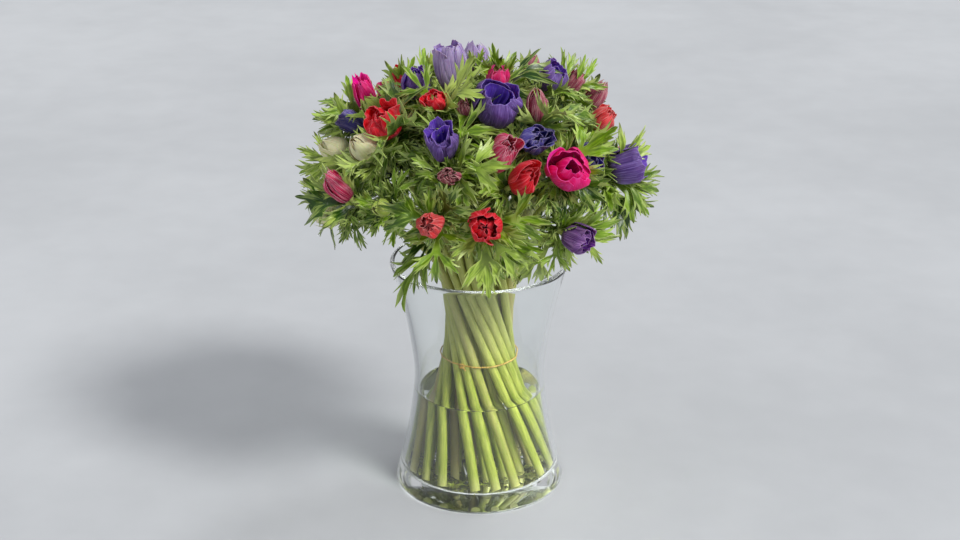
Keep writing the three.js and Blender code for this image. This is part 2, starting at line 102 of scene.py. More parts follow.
# azimuth, angle from the top, depth, form, colour, radius, height, and its axis where that differs
ANEMONES = [
    (-103, 47, 1.03, "closed", "magenta", 11, 34, -80, 22),
    (-93, 30, 1, "closed", "red", 10, 26, -85, 20),
    (-60, 26, 1.02, "closed", "violet", 11, 26, -50, 14),
    (-48, 13, 1.07, "cup", "lilac", 12.5, 43, -40, 8),
    (-176, 17, 1, "closed", "lilac", 11, 26),
    (24, 17, 1.02, "closed", "pink", 12, 24),
    (13, 31, 1, "cup", "violet", 19, 37, 25, 34),
    (77, 27, 1.04, "open", "violet", 12, 26, 70, 34),
    (104, 38, 1.04, "closed", "mauve", 10, 24),
    (130, 26, 1, "bud", "mauve", 7, 18),
    (36, 35, 1.04, "bud", "mauve", 10, 31, 5, 20),
    (106, 49, 1.05, "bud", "mauve", 10.5, 28, 98, 32),
    (73, 51, 1.05, "closed", "coral", 11.5, 22),
    (27, 49, 1, "open", "navy", 13, 22),
    (11, 53, 1, "closed", "crimson", 13, 30, 40, 46),
    (18, 63, 1.02, "closed", "red", 13, 34, 45, 54),
    (35, 63, 1.05, "open", "magenta", 18.5, 28, 22, 62),
    (54, 62, 0.94, "open", "navy", 14, 26, 55, 60),
    (77, 73, 1.02, "cup", "violet", 17, 34, 84, 72),
    (37, 91, 1, "cup", "purple", 12.5, 27, 45, 94),
    (2, 81, 1, "cup", "red", 14, 26, 4, 76),
    (-17, 81, 1.02, "closed", "coral", 12, 22, -20, 74),
    (-12, 62, 1, "closed", "mauve", 10, 16),
    (-17, 49, 1, "cup", "violet", 15, 30, -10, 34),
    (-54, 46, 1.02, "closed", "red", 15, 29, -45, 36),
    (-98, 59, 0.98, "cup", "navy", 13, 28, -92, 62),
    (-92, 70, 1, "bud", "cream", 13, 26, -85, 55),
    (-58, 58, 1, "bud", "cream", 12.5, 26, -60, 48),
    (-61, 76, 1.04, "closed", "crimson", 10, 31, -80, 45),
    (-75, 94, 1, "bud", "cream", 11, 25, -78, 108),
    (-39, 79, 0.97, "bud", "green", 7.5, 17),
    (-30, 32, 1.02, "open", "red", 10, 16, -36, 30),
    (-10, 32, 0.98, "closed", "mauve", 7, 15),
    (-80, 44, 0.99, "bud", "green", 8, 20),
    (-132, 24, 1, "bud", "green", 8, 18),
    (150, 50, 1, "cup", "red", 14, 28),
    (-170, 41, 1, "cup", "violet", 15, 30),
    (-130, 52, 1, "closed", "pink", 12, 27),
    (132, 66, 1, "open", "purple", 15, 26),
    (174, 67, 1, "cup", "magenta", 16, 28),
    (-146, 71, 1, "cup", "red", 15, 28),
    (-116, 82, 1, "closed", "navy", 12, 28),
    (108, 80, 1, "closed", "crimson", 11, 28),
    (178, 90, 1, "cup", "coral", 14, 26),
]


def unit(v):
    return v / np.linalg.norm(v)


def along(azimuth, from_top):
    a, t = radians(azimuth), radians(from_top)
    return np.array([sin(t) * sin(a), -sin(t) * cos(a), cos(t)])


def chance(a, b):
    """A scatter from 0 to 1 that is the same each time"""
    v = sin(a * 12.9898 + b * 78.233) * 43758.5453
    return v % 1


def between(low, high, a, b):
    return low + (high - low) * chance(a, b)


def smooth(low, high, x):
    t = np.clip((np.asarray(x, float) - low) / (high - low), 0, 1)
    return t * t * (3 - 2 * t)


def round_angles(count):
    return TAU * np.arange(count) / count


def turn_between(start, end):
    return ((end - start) % 360 + 540) % 360 - 180


# Where each anemone is, as in the CAD source


def slot_angles(count, groups, ring_radius, stem_radius):
    lean = atan(TWIST_PER_MM * ring_radius)
    pitch = 2 * stem_radius * cos(pi / STEM_SIDES) / cos(lean) - PRESSED_IN
    step = degrees(2 * asin(pitch / (2 * ring_radius)))
    room = (360 - (count - groups) * step) / groups
    slots, angle = [], 0.0
    for i in range(count):
        group, following = i * groups // count, (i + 1) * groups // count
        slots.append((angle, group))
        angle += step if following == group else room
    return slots


def seat_ring(name, ring, members):
    """Crossings for the stems of one ring, in the order of their blooms and turned to wander least"""
    slots = slot_angles(*ring)
    ordered = sorted(members, key=lambda f: f.azimuth)
    choices = []
    for shift in range(len(slots)):
        wishes = [f.azimuth + TWIST_TO_BLOOM for f in ordered[shift:] + ordered[:shift]]
        first = turn_between(slots[0][0], wishes[0])
        others = [turn_between(first, turn_between(s[0], w)) for s, w in zip(slots, wishes)]
        mean = sum(others) / len(others)
        choices.append((sum((o - mean) ** 2 for o in others), shift, first + mean))
    _, shift, turn = min(choices)
    for flower, (angle, group) in zip(ordered[shift:] + ordered[:shift], slots):
        a = radians(angle + turn)
        flower.crossing = np.array([sin(a), -cos(a), 0.0]) * ring[2]
        flower.group = name + str(group)
        flower.stem_radius = ring[3]


def lay_out():
    flowers = []
    for number, row in enumerate(ANEMONES, 1):
        azimuth, from_top, depth, form, colour, radius, height = row[:7]
        middle = along(azimuth, from_top) * (HEAD_RADIUS, HEAD_RADIUS, HEAD_RISE) * depth
        middle = middle + (0, 0, HEAD_CENTRE)
        axis = along(*row[7:]) if len(row) > 7 else along(azimuth, from_top)
        base = middle - axis * height / 2
        flowers.append(SimpleNamespace(
            number=number, azimuth=azimuth, from_top=from_top, form=form, colour=colour,
            radius=radius, height=height, axis=axis, base=base, ruff=base - axis * PEDICEL_LENGTH,
        ))
    by_angle = sorted(flowers, key=lambda f: f.from_top)
    first = 0
    for i, ring in enumerate(STEM_RINGS):
        seat_ring(f"r{i}g", ring, by_angle[first:first + ring[0]])
        first += ring[0]
    return flowers


def straight_run(flower, z):
    x, y, _ = flower.crossing
    lean = (z - CROSSING_HEIGHT) * TWIST_PER_MM
    return np.array([x + lean * y, y - lean * x, z])


def stem_course(flower):
    """The stem's foot, where it leaves the straight run, and the four points of its bend"""
    tilt = atan(TWIST_PER_MM * np.linalg.norm(flower.crossing))
    foot = straight_run(flower, FLOOR_HEIGHT + TOUCH_GAP + flower.stem_radius * sin(tilt))
    leave = straight_run(flower, STRAIGHT_TOP)
    heading = unit(leave - foot)
    reach = np.linalg.norm(leave - flower.ruff) * BEND_REACH
    bend = [leave, leave + heading * reach, flower.ruff - flower.axis * reach, flower.ruff]
    return foot, leave, heading, bend


def bezier(points, t):
    """Points of a Bezier curve of any degree at the shares t"""
    t = np.atleast_1d(np.asarray(t, float))[:, None]
    rows = [np.broadcast_to(np.asarray(p, float), (len(t), len(p))) for p in points]
    while len(rows) > 1:
        rows = [a * (1 - t) + b * t for a, b in zip(rows, rows[1:])]
    return rows[0]


def stem_stations(flower):
    foot, leave, heading, bend = stem_course(flower)
    kind = "sharp" if heading @ flower.axis < SHARP_BEND else "gentle"
    top = flower.stem_radius * STRAIGHT_TAPER
    axis = flower.axis
    stations = [(foot, flower.stem_radius), (leave, top)]
    stations += [(bezier(bend, t)[0], top + (NECK_RADIUS - top) * t) for t in BEND_STOPS[kind]]
    stations += [
        (flower.ruff - axis * RUFF_HEIGHT / 2, RUFF_RADIUS),
        (flower.ruff + axis * RUFF_HEIGHT / 2, RUFF_RADIUS),
        (flower.base - axis * TOUCH_GAP, NECK_RADIUS),
    ]
    return stations


def tube_rings(centres, radii, sides):
    """Rings of points round a line, each turned the least from the one before"""
    across = np.array([1.0, 0, 0])
    angles = round_angles(sides)
    rings = []
    for i, (centre, radius) in enumerate(zip(centres, radii)):
        heading = unit(centres[min(len(centres) - 1, i + 1)] - centres[max(0, i - 1)])
        across = unit(across - heading * (across @ heading))
        other = np.cross(heading, across)
        way = np.outer(np.cos(angles), across) + np.outer(np.sin(angles), other)
        rings.append(centre + radius * way)
    return rings


def spin(axis, angle):
    return np.array(Matrix.Rotation(radians(angle), 3, axis))


def posture(root, axis, turn, rise):
    """The middle of a bract's foot, and its axes outwards, across and up, turned and raised"""
    across = unit(root[1] - root[0])
    outwards = unit(np.cross(across, axis))
    basis = np.column_stack([outwards, across, np.cross(outwards, across)])
    return root.mean(0), basis @ spin("Z", turn) @ spin("Y", -rise)


def bract_root(flower, side):
    """Four points of the stem that a bract on that side grows from"""
    rings, after = flower.rings, (side + 1) % STEM_SIDES
    return np.array([rings[-3][side], rings[-3][after], rings[-2][after], rings[-2][side]])


TIP_MISS = 0.02


def find_bracts(flower, corners):
    """The poses of the bracts that the CAD gives this anemone, told by where their tips are"""
    found = []
    for side in BRACT_SIDES:
        root = bract_root(flower, side)
        tries = [(n, r, t) for n in BRACT_LENGTHS for r in BRACT_RISES for t in BRACT_TURNS]
        best = (1.0, None)
        for length, rise, turn in tries:
            middle, turned = posture(root, flower.axis, turn, rise)
            tip = middle + turned @ np.array([BRACT_LENGTH * length, 0, BRACT_THICKNESS / 2])
            miss = np.abs(corners - tip).max(1).min()
            if miss < best[0]:
                best = (miss, (root, length, rise, turn))
        if best[0] < TIP_MISS:
            found.append(best[1])
    return found


flowers = lay_out()
group_names = sorted({f.group for f in flowers})
for flower in flowers:
    centres, radii = zip(*stem_stations(flower))
    flower.rings = tube_rings(centres, radii, STEM_SIDES)
    flower.node = f"leafy_stems_{group_names.index(flower.group) + 1:02d}"
node_names = sorted({f.node for f in flowers})
for name in node_names:
    corners = np.array([v.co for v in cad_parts[name].data.vertices]) / MM
    for flower in flowers:
        if flower.node == name:
            flower.bracts = find_bracts(flower, corners)

# Building skins


def put_in_scene(name, data):
    made = bpy.data.objects.new(name, data)
    scene.collection.objects.link(made)
    return made


class Skin:
    """Points, faces and the values at each point of one piece, gathered part by part"""

    def __init__(self):
        self.points, self.grain, self.kind, self.faces = [], [], [], []
        self.count = 0

    def add(self, points, faces, grain=(0, 0, 0), kind=(0, 0, 0)):
        """For each point, grain is (across, along, tone) and kind is (edge, side, 0)"""
        points = np.asarray(points, float).reshape(-1, 3)
        self.faces += [(np.asarray(f) + self.count).tolist() for f in faces if len(f)]
        self.points.append(points)
        self.grain.append(np.broadcast_to(np.asarray(grain, float), points.shape))
        self.kind.append(np.broadcast_to(np.asarray(kind, float), points.shape))
        self.count += len(points)

    def build(self, name, material, slot, nodes=(), sharp=60):
        mesh = bpy.data.meshes.new(name)
        faces = [f for group in self.faces for f in group]
        mesh.from_pydata((np.concatenate(self.points) * MM).tolist(), [], faces)
        for label, rows in (("grain", self.grain), ("kind", self.kind)):
            layer = mesh.attributes.new(label, "FLOAT_VECTOR", "POINT")
            layer.data.foreach_set("vector", np.concatenate(rows).astype(np.float32).ravel())
        mesh.polygons.foreach_set("use_smooth", [True] * len(mesh.polygons))
        mesh.set_sharp_from_angle(angle=radians(sharp))
        mesh.materials.append(material)
        piece = put_in_scene(name, mesh)
        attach(piece, "root")
        if nodes:
            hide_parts(*nodes)


def strip_faces(rows, columns, closed):
    """Quads of a grid of points; closed joins the last column to the first"""
    i = np.arange(rows - 1)[:, None] * columns
    j = np.arange(columns if closed else columns - 1)[None, :]
    after = (j + 1) % columns
    a, b = (i + j).ravel(), (i + after).ravel()
    return np.column_stack([a, b, b + columns, a + columns])


def add_rings(skin, rings, ends, grain=(0, 0, 0), kind=(0, 0, 0)):
    """A closed body from a stack of rings, with a point in the middle of each end"""
    count, sides = rings.shape[:2]
    ring = np.arange(sides)
    after = (ring + 1) % sides
    last = (count - 1) * sides
    bottom = np.column_stack([after, ring, np.full(sides, count * sides)])
    top = np.column_stack([last + ring, last + after, np.full(sides, count * sides + 1)])
    points = np.concatenate([rings.reshape(-1, 3), ends])
    skin.add(points, [strip_faces(count, sides, True), bottom, top], grain, kind)


def turned_rings(line, sides):
    """Rings round the Z axis, one for each (radius, height) of a line"""
    angles = round_angles(sides)
    radii, heights = np.hsplit(np.asarray(line, float), 2)
    return np.stack([radii * np.cos(angles), radii * np.sin(angles), heights + 0 * angles], axis=2)


RIDGES = 5


def add_tube(skin, centres, radii, sides, tone=0.0, ridge_depth=0.0, seed=0):
    """A closed round tube along a line, with rounded ridges along it"""
    centres = np.asarray(centres, float)
    angles = round_angles(sides)
    swell = 1 + ridge_depth * np.cos(RIDGES * angles + TAU * chance(seed, 3))
    rings = np.array(tube_rings(centres, radii, sides)) - centres[:, None]
    rings = centres[:, None] + rings * swell[:, None]
    runs = np.concatenate([[0], np.cumsum(np.linalg.norm(np.diff(centres, axis=0), axis=1))])
    run, angle = np.meshgrid(runs, angles, indexing="ij")
    grain = np.stack([np.cos(angle), run, np.full(run.shape, tone)], axis=2).reshape(-1, 3)
    kind = np.stack([np.sin(angle), run / runs[-1], 0 * run], axis=2).reshape(-1, 3)
    grain = np.concatenate([grain, [(0, 0, tone), (0, runs[-1], tone)]])
    kind = np.concatenate([kind, [(0, 0, 0), (0, 1, 0)]])
    add_rings(skin, rings, centres[[0, -1]], grain, kind)


def grid_normals(points):
    normals = np.cross(np.gradient(points, axis=1), np.gradient(points, axis=0))
    return normals / np.maximum(np.linalg.norm(normals, axis=2, keepdims=True), 1e-9)


def add_sheet(skin, points, thickness, grain, edge):
    """A closed thin body from a grid of points: its two faces and its rim"""
    rows, columns = points.shape[:2]
    offset = grid_normals(points) * (np.asarray(thickness)[..., None] / 2)
    both = np.concatenate([(points - offset).reshape(-1, 3), (points + offset).reshape(-1, 3)])
    count = rows * columns
    lower = strip_faces(rows, columns, False)
    upper = lower[:, ::-1] + count
    index = np.arange(count).reshape(rows, columns)
    loop = np.concatenate([index[0, :-1], index[:-1, -1], index[-1, :0:-1], index[:0:-1, 0]])
    ahead = np.roll(loop, -1)
    rim = np.column_stack([ahead, loop, loop + count, ahead + count])
    kind = np.zeros((2 * count, 3))
    kind[:, 0] = np.tile(edge.ravel(), 2)
    kind[count:, 1] = 1
    skin.add(both, [lower, upper, rim], np.tile(grain.reshape(-1, 3), (2, 1)), kind)


# Materials


def tint(code):
    """A linear colour from its usual six digits"""
    levels = [int(code[i:i + 2], 16) / 255 for i in (0, 2, 4)]
    return (*[c / 12.92 if c <= 0.04045 else ((c + 0.055) / 1.055) ** 2.4 for c in levels], 1)


class Shader:
    """A material and short ways to wire its nodes"""

    def __init__(self, name):
        self.material = bpy.data.materials.new(name)
        self.material.use_nodes = True
        self.tree = self.material.node_tree
        self.surface = self.tree.nodes["Principled BSDF"]

    def node(self, kind, values=None, **settings):
        made = self.tree.nodes.new(kind)
        for key, value in settings.items():
            setattr(made, key, value)
        for key, value in (values or {}).items():
            self.put(made.inputs[key], value)
        return made

    def put(self, socket, value):
        if isinstance(value, bpy.types.NodeSocket):
            self.tree.links.new(value, socket)
        else:
            socket.default_value = value

    def set(self, **values):
        for key, value in values.items():
            self.put(self.surface.inputs[key.replace("_", " ")], value)
        return self.material

    def attribute(self, name):
        source = self.node("ShaderNodeAttribute", attribute_name=name).outputs["Vector"]
        return list(self.node("ShaderNodeSeparateXYZ", {0: source}).outputs)

    def times(self, a, b):
        return self.node("ShaderNodeMath", {0: a, 1: b}, operation="MULTIPLY").outputs[0]

    def plus(self, a, b):
        return self.node("ShaderNodeMath", {0: a, 1: b}, operation="ADD").outputs[0]

    def ramp(self, value, low, high, start=0, end=1):
        inputs = dict(enumerate((value, low, high, start, end)))
        return self.node("ShaderNodeMapRange", inputs, interpolation_type="SMOOTHSTEP").outputs[0]

    def mix(self, share, a, b, blend="MIX"):
        inputs = {0: share, 6: a, 7: b}
        return self.node("ShaderNodeMix", inputs, data_type="RGBA", blend_type=blend).outputs[2]

    def layers(self, body, *rows):
        """The body under colours, each as (value, where it starts, where it is full, share, colour)"""
        for value, start, full, share, colour in rows:
            body = self.mix(self.ramp(value, start, full, 0, share), body, tint(colour))
        return body

    def vector(self, x, y, z):
        return self.node("ShaderNodeCombineXYZ", {0: x, 1: y, 2: z}).outputs[0]

    def noise(self, place, scale, detail=3, roughness=0.55):
        inputs = {"Vector": place, "Scale": scale, "Detail": detail, "Roughness": roughness}
        return self.node("ShaderNodeTexNoise", inputs).outputs["Fac"]

    def here(self):
        return self.node("ShaderNodeTexCoord").outputs["Object"]

    def clear_to_lamps(self, colour):
        """Light from the lamps passes straight through, as it does through clear glass and water"""
        lamps = self.node("ShaderNodeLightPath").outputs["Is Shadow Ray"]
        passing = self.node("ShaderNodeBsdfTransparent", {"Color": colour}).outputs[0]
        both = self.node("ShaderNodeMixShader", {0: lamps, 1: self.surface.outputs[0], 2: passing})
        self.put(self.tree.nodes["Material Output"].inputs["Surface"], both.outputs[0])

    def bump(self, height, strength, distance):
        made = self.node("ShaderNodeBump", {"Strength": strength, "Distance": distance, "Height": height})
        self.put(self.surface.inputs["Normal"], made.outputs[0])


def petal_material(name, inside, outside, margin, vein, foot, streaks):
    """Silky petals: a duller outside, fine veins along them, and pale margins"""
    s = Shader(name)
    across, run, tone = s.attribute("grain")
    edge, side, _ = s.attribute("kind")
    seed = s.times(tone, 37)
    fine = s.noise(s.vector(s.times(across, 15), s.times(run, 1.6), seed), 1, 4)
    broad = s.noise(s.vector(s.times(across, 3.2), s.times(run, 1.9), seed), 1, 2)
    body = s.layers(
        s.mix(side, tint(inside), tint(outside)),
        (fine, 0.5, 0.66, streaks, vein),
        (fine, 0.47, 0.32, streaks, margin),
        (broad, 0.45, 0.75, 0.4, margin),
        (s.plus(run, s.times(fine, 0.12)), 0.42, 0.06, 0.85, foot),
        (edge, 0.8, 1, 0.6, margin),
    )
    shade = s.ramp(s.noise(s.here(), 90, 3), 0.3, 0.7, 0.82, 1.1)
    body = s.mix(1, body, s.vector(shade, shade, shade), "MULTIPLY")
    s.bump(fine, 0.55, 0.0006)
    return s.set(
        Base_Color=body, Roughness=0.5, Sheen_Weight=0.06, Sheen_Roughness=0.4, Specular_IOR_Level=0.22,
        Subsurface_Weight=0.3, Subsurface_Scale=0.002, Subsurface_Radius=(1, 0.6, 0.6),
    )


PETALS = {  # inside, outside, margin, vein, foot, strength of the streaks
    "red": ("ea0018", "da0a22", "ff7480", "94000f", "7a0a14", 0.55),
    "coral": ("e01c2c", "dc3c40", "f49c98", "a4101c", "9a7a40", 0.6),
    "crimson": ("d00a48", "cc2458", "f8bccc", "920430", "7a2038", 0.85),
    "pink": ("f00a74", "dc1266", "f880b4", "9c043c", "6e0a30", 0.6),
    "magenta": ("ff06a4", "e0086c", "ff5ab0", "b00058", "5c0a2c", 0.35),
    "purple": ("68249c", "66407e", "c098d4", "34104e", "5a4a48", 0.6),
    "violet": ("6a44c4", "64488e", "a48cdc", "34206c", "4a3a4c", 0.55),
    "navy": ("3c34a8", "4a4290", "b0a8cc", "201c54", "3a3040", 0.55),
    "lilac": ("9c84cc", "a894c4", "d4c6e2", "6a4a98", "54304e", 0.8),
    "mauve": ("b82456", "a84c64", "ecc0b8", "68122e", "8a7a40", 0.85),
    "cream": ("e4dca8", "e6e0b0", "f0e2c8", "c8c680", "b4ba6c", 0.5),
    "green": ("a8b858", "9cb04a", "c8d080", "7a9434", "7c9a30", 0.5),
}


def leaf_material():
    """Cut leaves: ribbed along each lobe, with painted shade in the rib furrows and painted highlight on the
    rib ridges; paler below; a painted highlight along the edges; painted shade towards each leaf's base,
    deep in the bunch; browner at some tips
    """
    s = Shader("cut_leaves")
    across, run, tone = s.attribute("grain")
    edge, upper, _ = s.attribute("kind")
    seed = s.times(tone, 41)
    ribs = s.noise(s.vector(s.times(across, 26), s.times(run, 3), seed), 1, 3)
    patch = s.noise(s.here(), 60, 3)
    level = s.plus(s.times(tone, 0.9), s.times(patch, 0.5))
    top = s.layers(
        tint("264c06"), (level, 0.25, 0.7, 1, "80a61c"), (level, 0.75, 1.3, 1, "bace62")
    )
    under = s.layers(tint("5a7a24"), (level, 0.25, 1.1, 1, "b4c870"))
    body = s.layers(
        s.mix(upper, under, top),
        # Rib stripes: painted shade in the furrows between the ribs, then painted highlight on the ridges
        (ribs, 0.46, 0.62, 0.55, "1e3a04"),
        (ribs, 0.48, 0.34, 0.5, "bcd46c"),
        # Painted shade: darker towards each leaf's base, where it sits deep inside the bunch
        (run, 0.5, 0.08, 0.6, "1c3004"),
        # Painted highlight: paler along the leaf edges, where light catches them
        (edge, 0.8, 1, 0.4, "cede88"),
    )
    brown = s.times(s.ramp(run, 0.84, 1), s.ramp(patch, 0.45, 0.6, 0, 0.75))
    body = s.mix(brown, body, tint("3e3410"))
    s.bump(ribs, 0.6, 0.0012)
    return s.set(
        Base_Color=body, Roughness=0.33, Specular_IOR_Level=0.45, Subsurface_Weight=0.06,
        Subsurface_Scale=0.0015, Subsurface_Radius=(1, 1, 0.4),
    )


def scrap_material():
    s = Shader("soaked_scraps")
    run, tone = s.attribute("grain")[1:]
    patch = s.noise(s.here(), 160, 3)
    level = s.plus(s.times(tone, 0.7), s.times(patch, 0.6))
    body = s.layers(
        tint("3a460c"), (level, 0.2, 1, 1, "a0b044"), (run, 0.3, 1, 0.5, "56401c")
    )
    s.bump(patch, 0.4, 0.001)
    return s.set(Base_Color=body, Roughness=0.45)


def stem_material():
    s = Shader("stems")
    cosine, run, tone = s.attribute("grain")
    sine, share, _ = s.attribute("kind")
    seed = s.times(tone, 53)
    place = s.vector(s.times(cosine, 1.6), s.plus(sine, seed), s.times(run, 0.035))
    streak = s.noise(place, 2.2, 4)
    speck = s.noise(s.here(), 420, 3)
    body = s.layers(
        tint("9aac34"),
        (streak, 0.3, 0.7, 1, "ccd464"),
        (tone, 0.55, 0, 0.6, "7a9424"),
        (s.plus(tone, s.times(streak, 0.25)), 0.86, 1.1, 1, "b09c70"),
        (share, 0.6, 0.95, 0.5, "86a02c"),
        (share, 0.4, 0.12, 0.3, "7c8c18"),
        (share, 0.3, 0.45, 0.4, "dcdc92"),
        (share, 0.05, 0, 0.6, "c8c884"),
        (speck, 0.62, 0.75, 0.35, "7a7030"),
    )
    s.bump(streak, 0.14, 0.001)
    return s.set(Base_Color=body, Roughness=0.4, Specular_IOR_Level=0.45)


def mottled_material(name, scale, detail, dark, light, strength, distance, **settings):
    s = Shader(name)
    mottle = s.noise(s.here(), scale, detail)
    s.bump(mottle, strength, distance)
    return s.set(Base_Color=s.layers(tint(dark), (mottle, 0.35, 0.7, 1, light)), **settings)


def glass_material():
    s = Shader("clear_glass")
    rough = s.ramp(s.noise(s.here(), 60, 2), 0.3, 0.8, 0, 0.03)
    s.clear_to_lamps((0.96, 0.97, 0.97, 1))
    return s.set(Base_Color=(0.975, 0.99, 0.985, 1), Roughness=rough, IOR=1.46, Transmission_Weight=1)


def water_material():
    s = Shader("still_water")
    ripple = s.noise(s.here(), 22, 1)
    s.bump(ripple, 0.05, 0.002)
    s.clear_to_lamps((0.97, 0.98, 0.95, 1))
    return s.set(Base_Color=(0.965, 0.985, 0.93, 1), Roughness=0, IOR=1.333, Transmission_Weight=1)


# Vase, water and band


def eased(points, steps):
    """A smooth line through points, with steps between each two of them"""
    p = np.asarray(points, float)
    slopes = np.gradient(p, axis=0)
    t = np.arange(steps)[:, None] / steps
    pieces = []
    for i in range(len(p) - 1):
        h = [2 * t**3 - 3 * t**2 + 1, t**3 - 2 * t**2 + t, -2 * t**3 + 3 * t**2, t**3 - t**2]
        pieces.append(h[0] * p[i] + h[1] * slopes[i] + h[2] * p[i + 1] + h[3] * slopes[i + 1])
    return np.concatenate([*pieces, p[-1:]])


def wall_radius(z):
    """The vase's smooth outer radius at a height"""
    line = eased(VASE_WALL, 8)
    return np.interp(z, line[:, 1], line[:, 0])


LIP_RADIUS = WALL / 2
PUSH_UP = 10.5
HOLLOW_RADIUS = 68.5
STANDING_EDGE = 0.6
FOOT_CORNERS = [(69.6, 0.3), (71.8, 0), (72.5, 1.4)]
FLOOR_CORNER = (66, 14.3)
MIDWAY = 30
SEGMENTS = 128
CONTACT = 0.05
MENISCUS = 2.2
MENISCUS_WIDTH = 5


def build_turned(name, profile, material, slot, node):
    """A closed body turned from a profile whose ends lie on the axis"""
    skin = Skin()
    ends = [(0, 0, profile[0][1]), (0, 0, profile[-1][1])]
    add_rings(skin, turned_rings(profile[1:-1], SEGMENTS), ends)
    skin.build(name, material, slot, [node], sharp=80)


rim_radius, rim_start = VASE_WALL[-1]
lip_middle = np.array([rim_radius - LIP_RADIUS, RIM_HEIGHT - LIP_RADIUS])
lip_turn = np.radians(np.linspace(10, 170, 11))
lip = lip_middle + LIP_RADIUS * np.column_stack([np.cos(lip_turn), np.sin(lip_turn)])
outer = eased(VASE_WALL[1:], 6)
outer = outer[outer[:, 1] < lip_middle[1]]
inner_heights = np.linspace(rim_start, LOWEST_INNER_WALL, 40)
inner = np.column_stack([wall_radius(inner_heights) - WALL, inner_heights])
inner = inner[inner[:, 1] < lip_middle[1]]
corner = [inner[-1], FLOOR_CORNER, (FLOOR_RADIUS - 1, FLOOR_HEIGHT)]
turn_up = bezier(corner, np.linspace(0.1, 1, 12))
foot = bezier([*FOOT_CORNERS, VASE_WALL[1]], np.linspace(0, 0.96, 9))
across = np.linspace(0, 1, 14)
underside = np.column_stack([HOLLOW_RADIUS * across, STANDING_EDGE + PUSH_UP * (1 - across**2)])
inner_floor = [(MIDWAY, FLOOR_HEIGHT), (0, FLOOR_HEIGHT)]
vase_profile = np.concatenate([underside, foot, outer, lip, inner, turn_up, inner_floor])
build_turned("glass_vase", vase_profile, glass_material(), "vase_glass", "vase")

water_wall = inner[(inner[:, 1] < WATER_LEVEL + MENISCUS - 0.3)][::-1] - (CONTACT, 0)
skirt = np.linspace(0, 1, 8)
water_profile = np.concatenate([
    [(0, FLOOR_HEIGHT + CONTACT), (MIDWAY, FLOOR_HEIGHT + CONTACT)],
    turn_up[::-1] + (-CONTACT, CONTACT), water_wall,
    [(water_wall[-1][0] - MENISCUS_WIDTH * t, WATER_LEVEL + MENISCUS * (1 - t) ** 2.4) for t in skirt],
    [(MIDWAY, WATER_LEVEL), (0, WATER_LEVEL)],
])
build_turned("water_body", water_profile, water_material(), "water", "water")


def band_loop(count):
    """A line stretched round the stems at the tie, and its outward directions"""
    bundle = [(straight_run(f, TIE_HEIGHT)[:2], f.stem_radius) for f in flowers]
    angles = round_angles(720)
    ways = np.column_stack([np.cos(angles), np.sin(angles)])
    reach = np.max([ways @ p + r for p, r in bundle], axis=0) + TOUCH_GAP + BAND_RADIUS
    slope = (np.roll(reach, -1) - np.roll(reach, 1)) / (2 * angles[1])
    hull = ways * reach[:, None] + np.column_stack([-ways[:, 1], ways[:, 0]]) * slope[:, None]
    closed = np.concatenate([hull, hull[:1]])
    runs = np.concatenate([[0], np.cumsum(np.linalg.norm(np.diff(closed, axis=0), axis=1))])
    at = np.linspace(0, runs[-1], count + 1)[:-1]
    line = np.column_stack([np.interp(at, runs, closed[:, k]) for k in (0, 1)])
    ahead = np.roll(line, -1, axis=0) - np.roll(line, 1, axis=0)
    outwards = np.column_stack([ahead[:, 1], -ahead[:, 0]])
    return line, outwards / np.linalg.norm(outwards, axis=1, keepdims=True)


BAND_SEEN = 0.65
BAND_SIDES = 12
KNOT_AT = radians(-122)
KNOT_THICKNESS = 0.8
band = Skin()
turns = np.linspace(0, TAU, 145)[:-1]
flat_loop, outwards = band_loop(len(turns))
wander = 0.5 * np.sin(2 * turns + 1) + 0.3 * np.sin(5 * turns)
loop = np.column_stack([flat_loop, TIE_HEIGHT + wander])
ring_angles = round_angles(BAND_SIDES)[None, :, None]
radial = np.column_stack([outwards, 0 * turns])
rings = loop[:, None, :] + BAND_SEEN * (
    np.cos(ring_angles) * radial[:, None, :] + np.sin(ring_angles) * np.array([0, 0, 1.0])
)
band.add(rings, [strip_faces(len(turns) + 1, BAND_SIDES, True) % (len(turns) * BAND_SIDES)])
knot_way = np.array([cos(KNOT_AT), sin(KNOT_AT)])
knot_index = int(np.argmax(flat_loop @ knot_way))
knot_out = radial[knot_index]
knot_side = np.array([-knot_out[1], knot_out[0], 0])
knot_middle = loop[knot_index] + knot_out
t = np.linspace(0, TAU, 40)[:-1]
knot_line = (
    knot_middle + np.outer(2.2 * np.sin(t), knot_side) + np.outer(0.9 * np.cos(2 * t), knot_out)
    + np.outer(1.6 * np.cos(t), (0, 0, 1))
)
add_tube(band, knot_line, np.full(len(t), KNOT_THICKNESS), 8)
t = np.linspace(0, 1, 6)
tail = knot_middle + np.outer(4.5 * t, knot_side + (0, 0, -0.8)) + np.outer(t**2, knot_out)
add_tube(band, tail, np.linspace(KNOT_THICKNESS, 0.6, 6), 8)
rubber = mottled_material(
    "amber_rubber", 700.0, 3.0, "cc9c30", "ecd070", 0.2, 0.0003, Roughness=0.45, Transmission_Weight=0.15
)
band.build("rubber_tie", rubber, "rubber_band", ["tie_band"])

# Stems

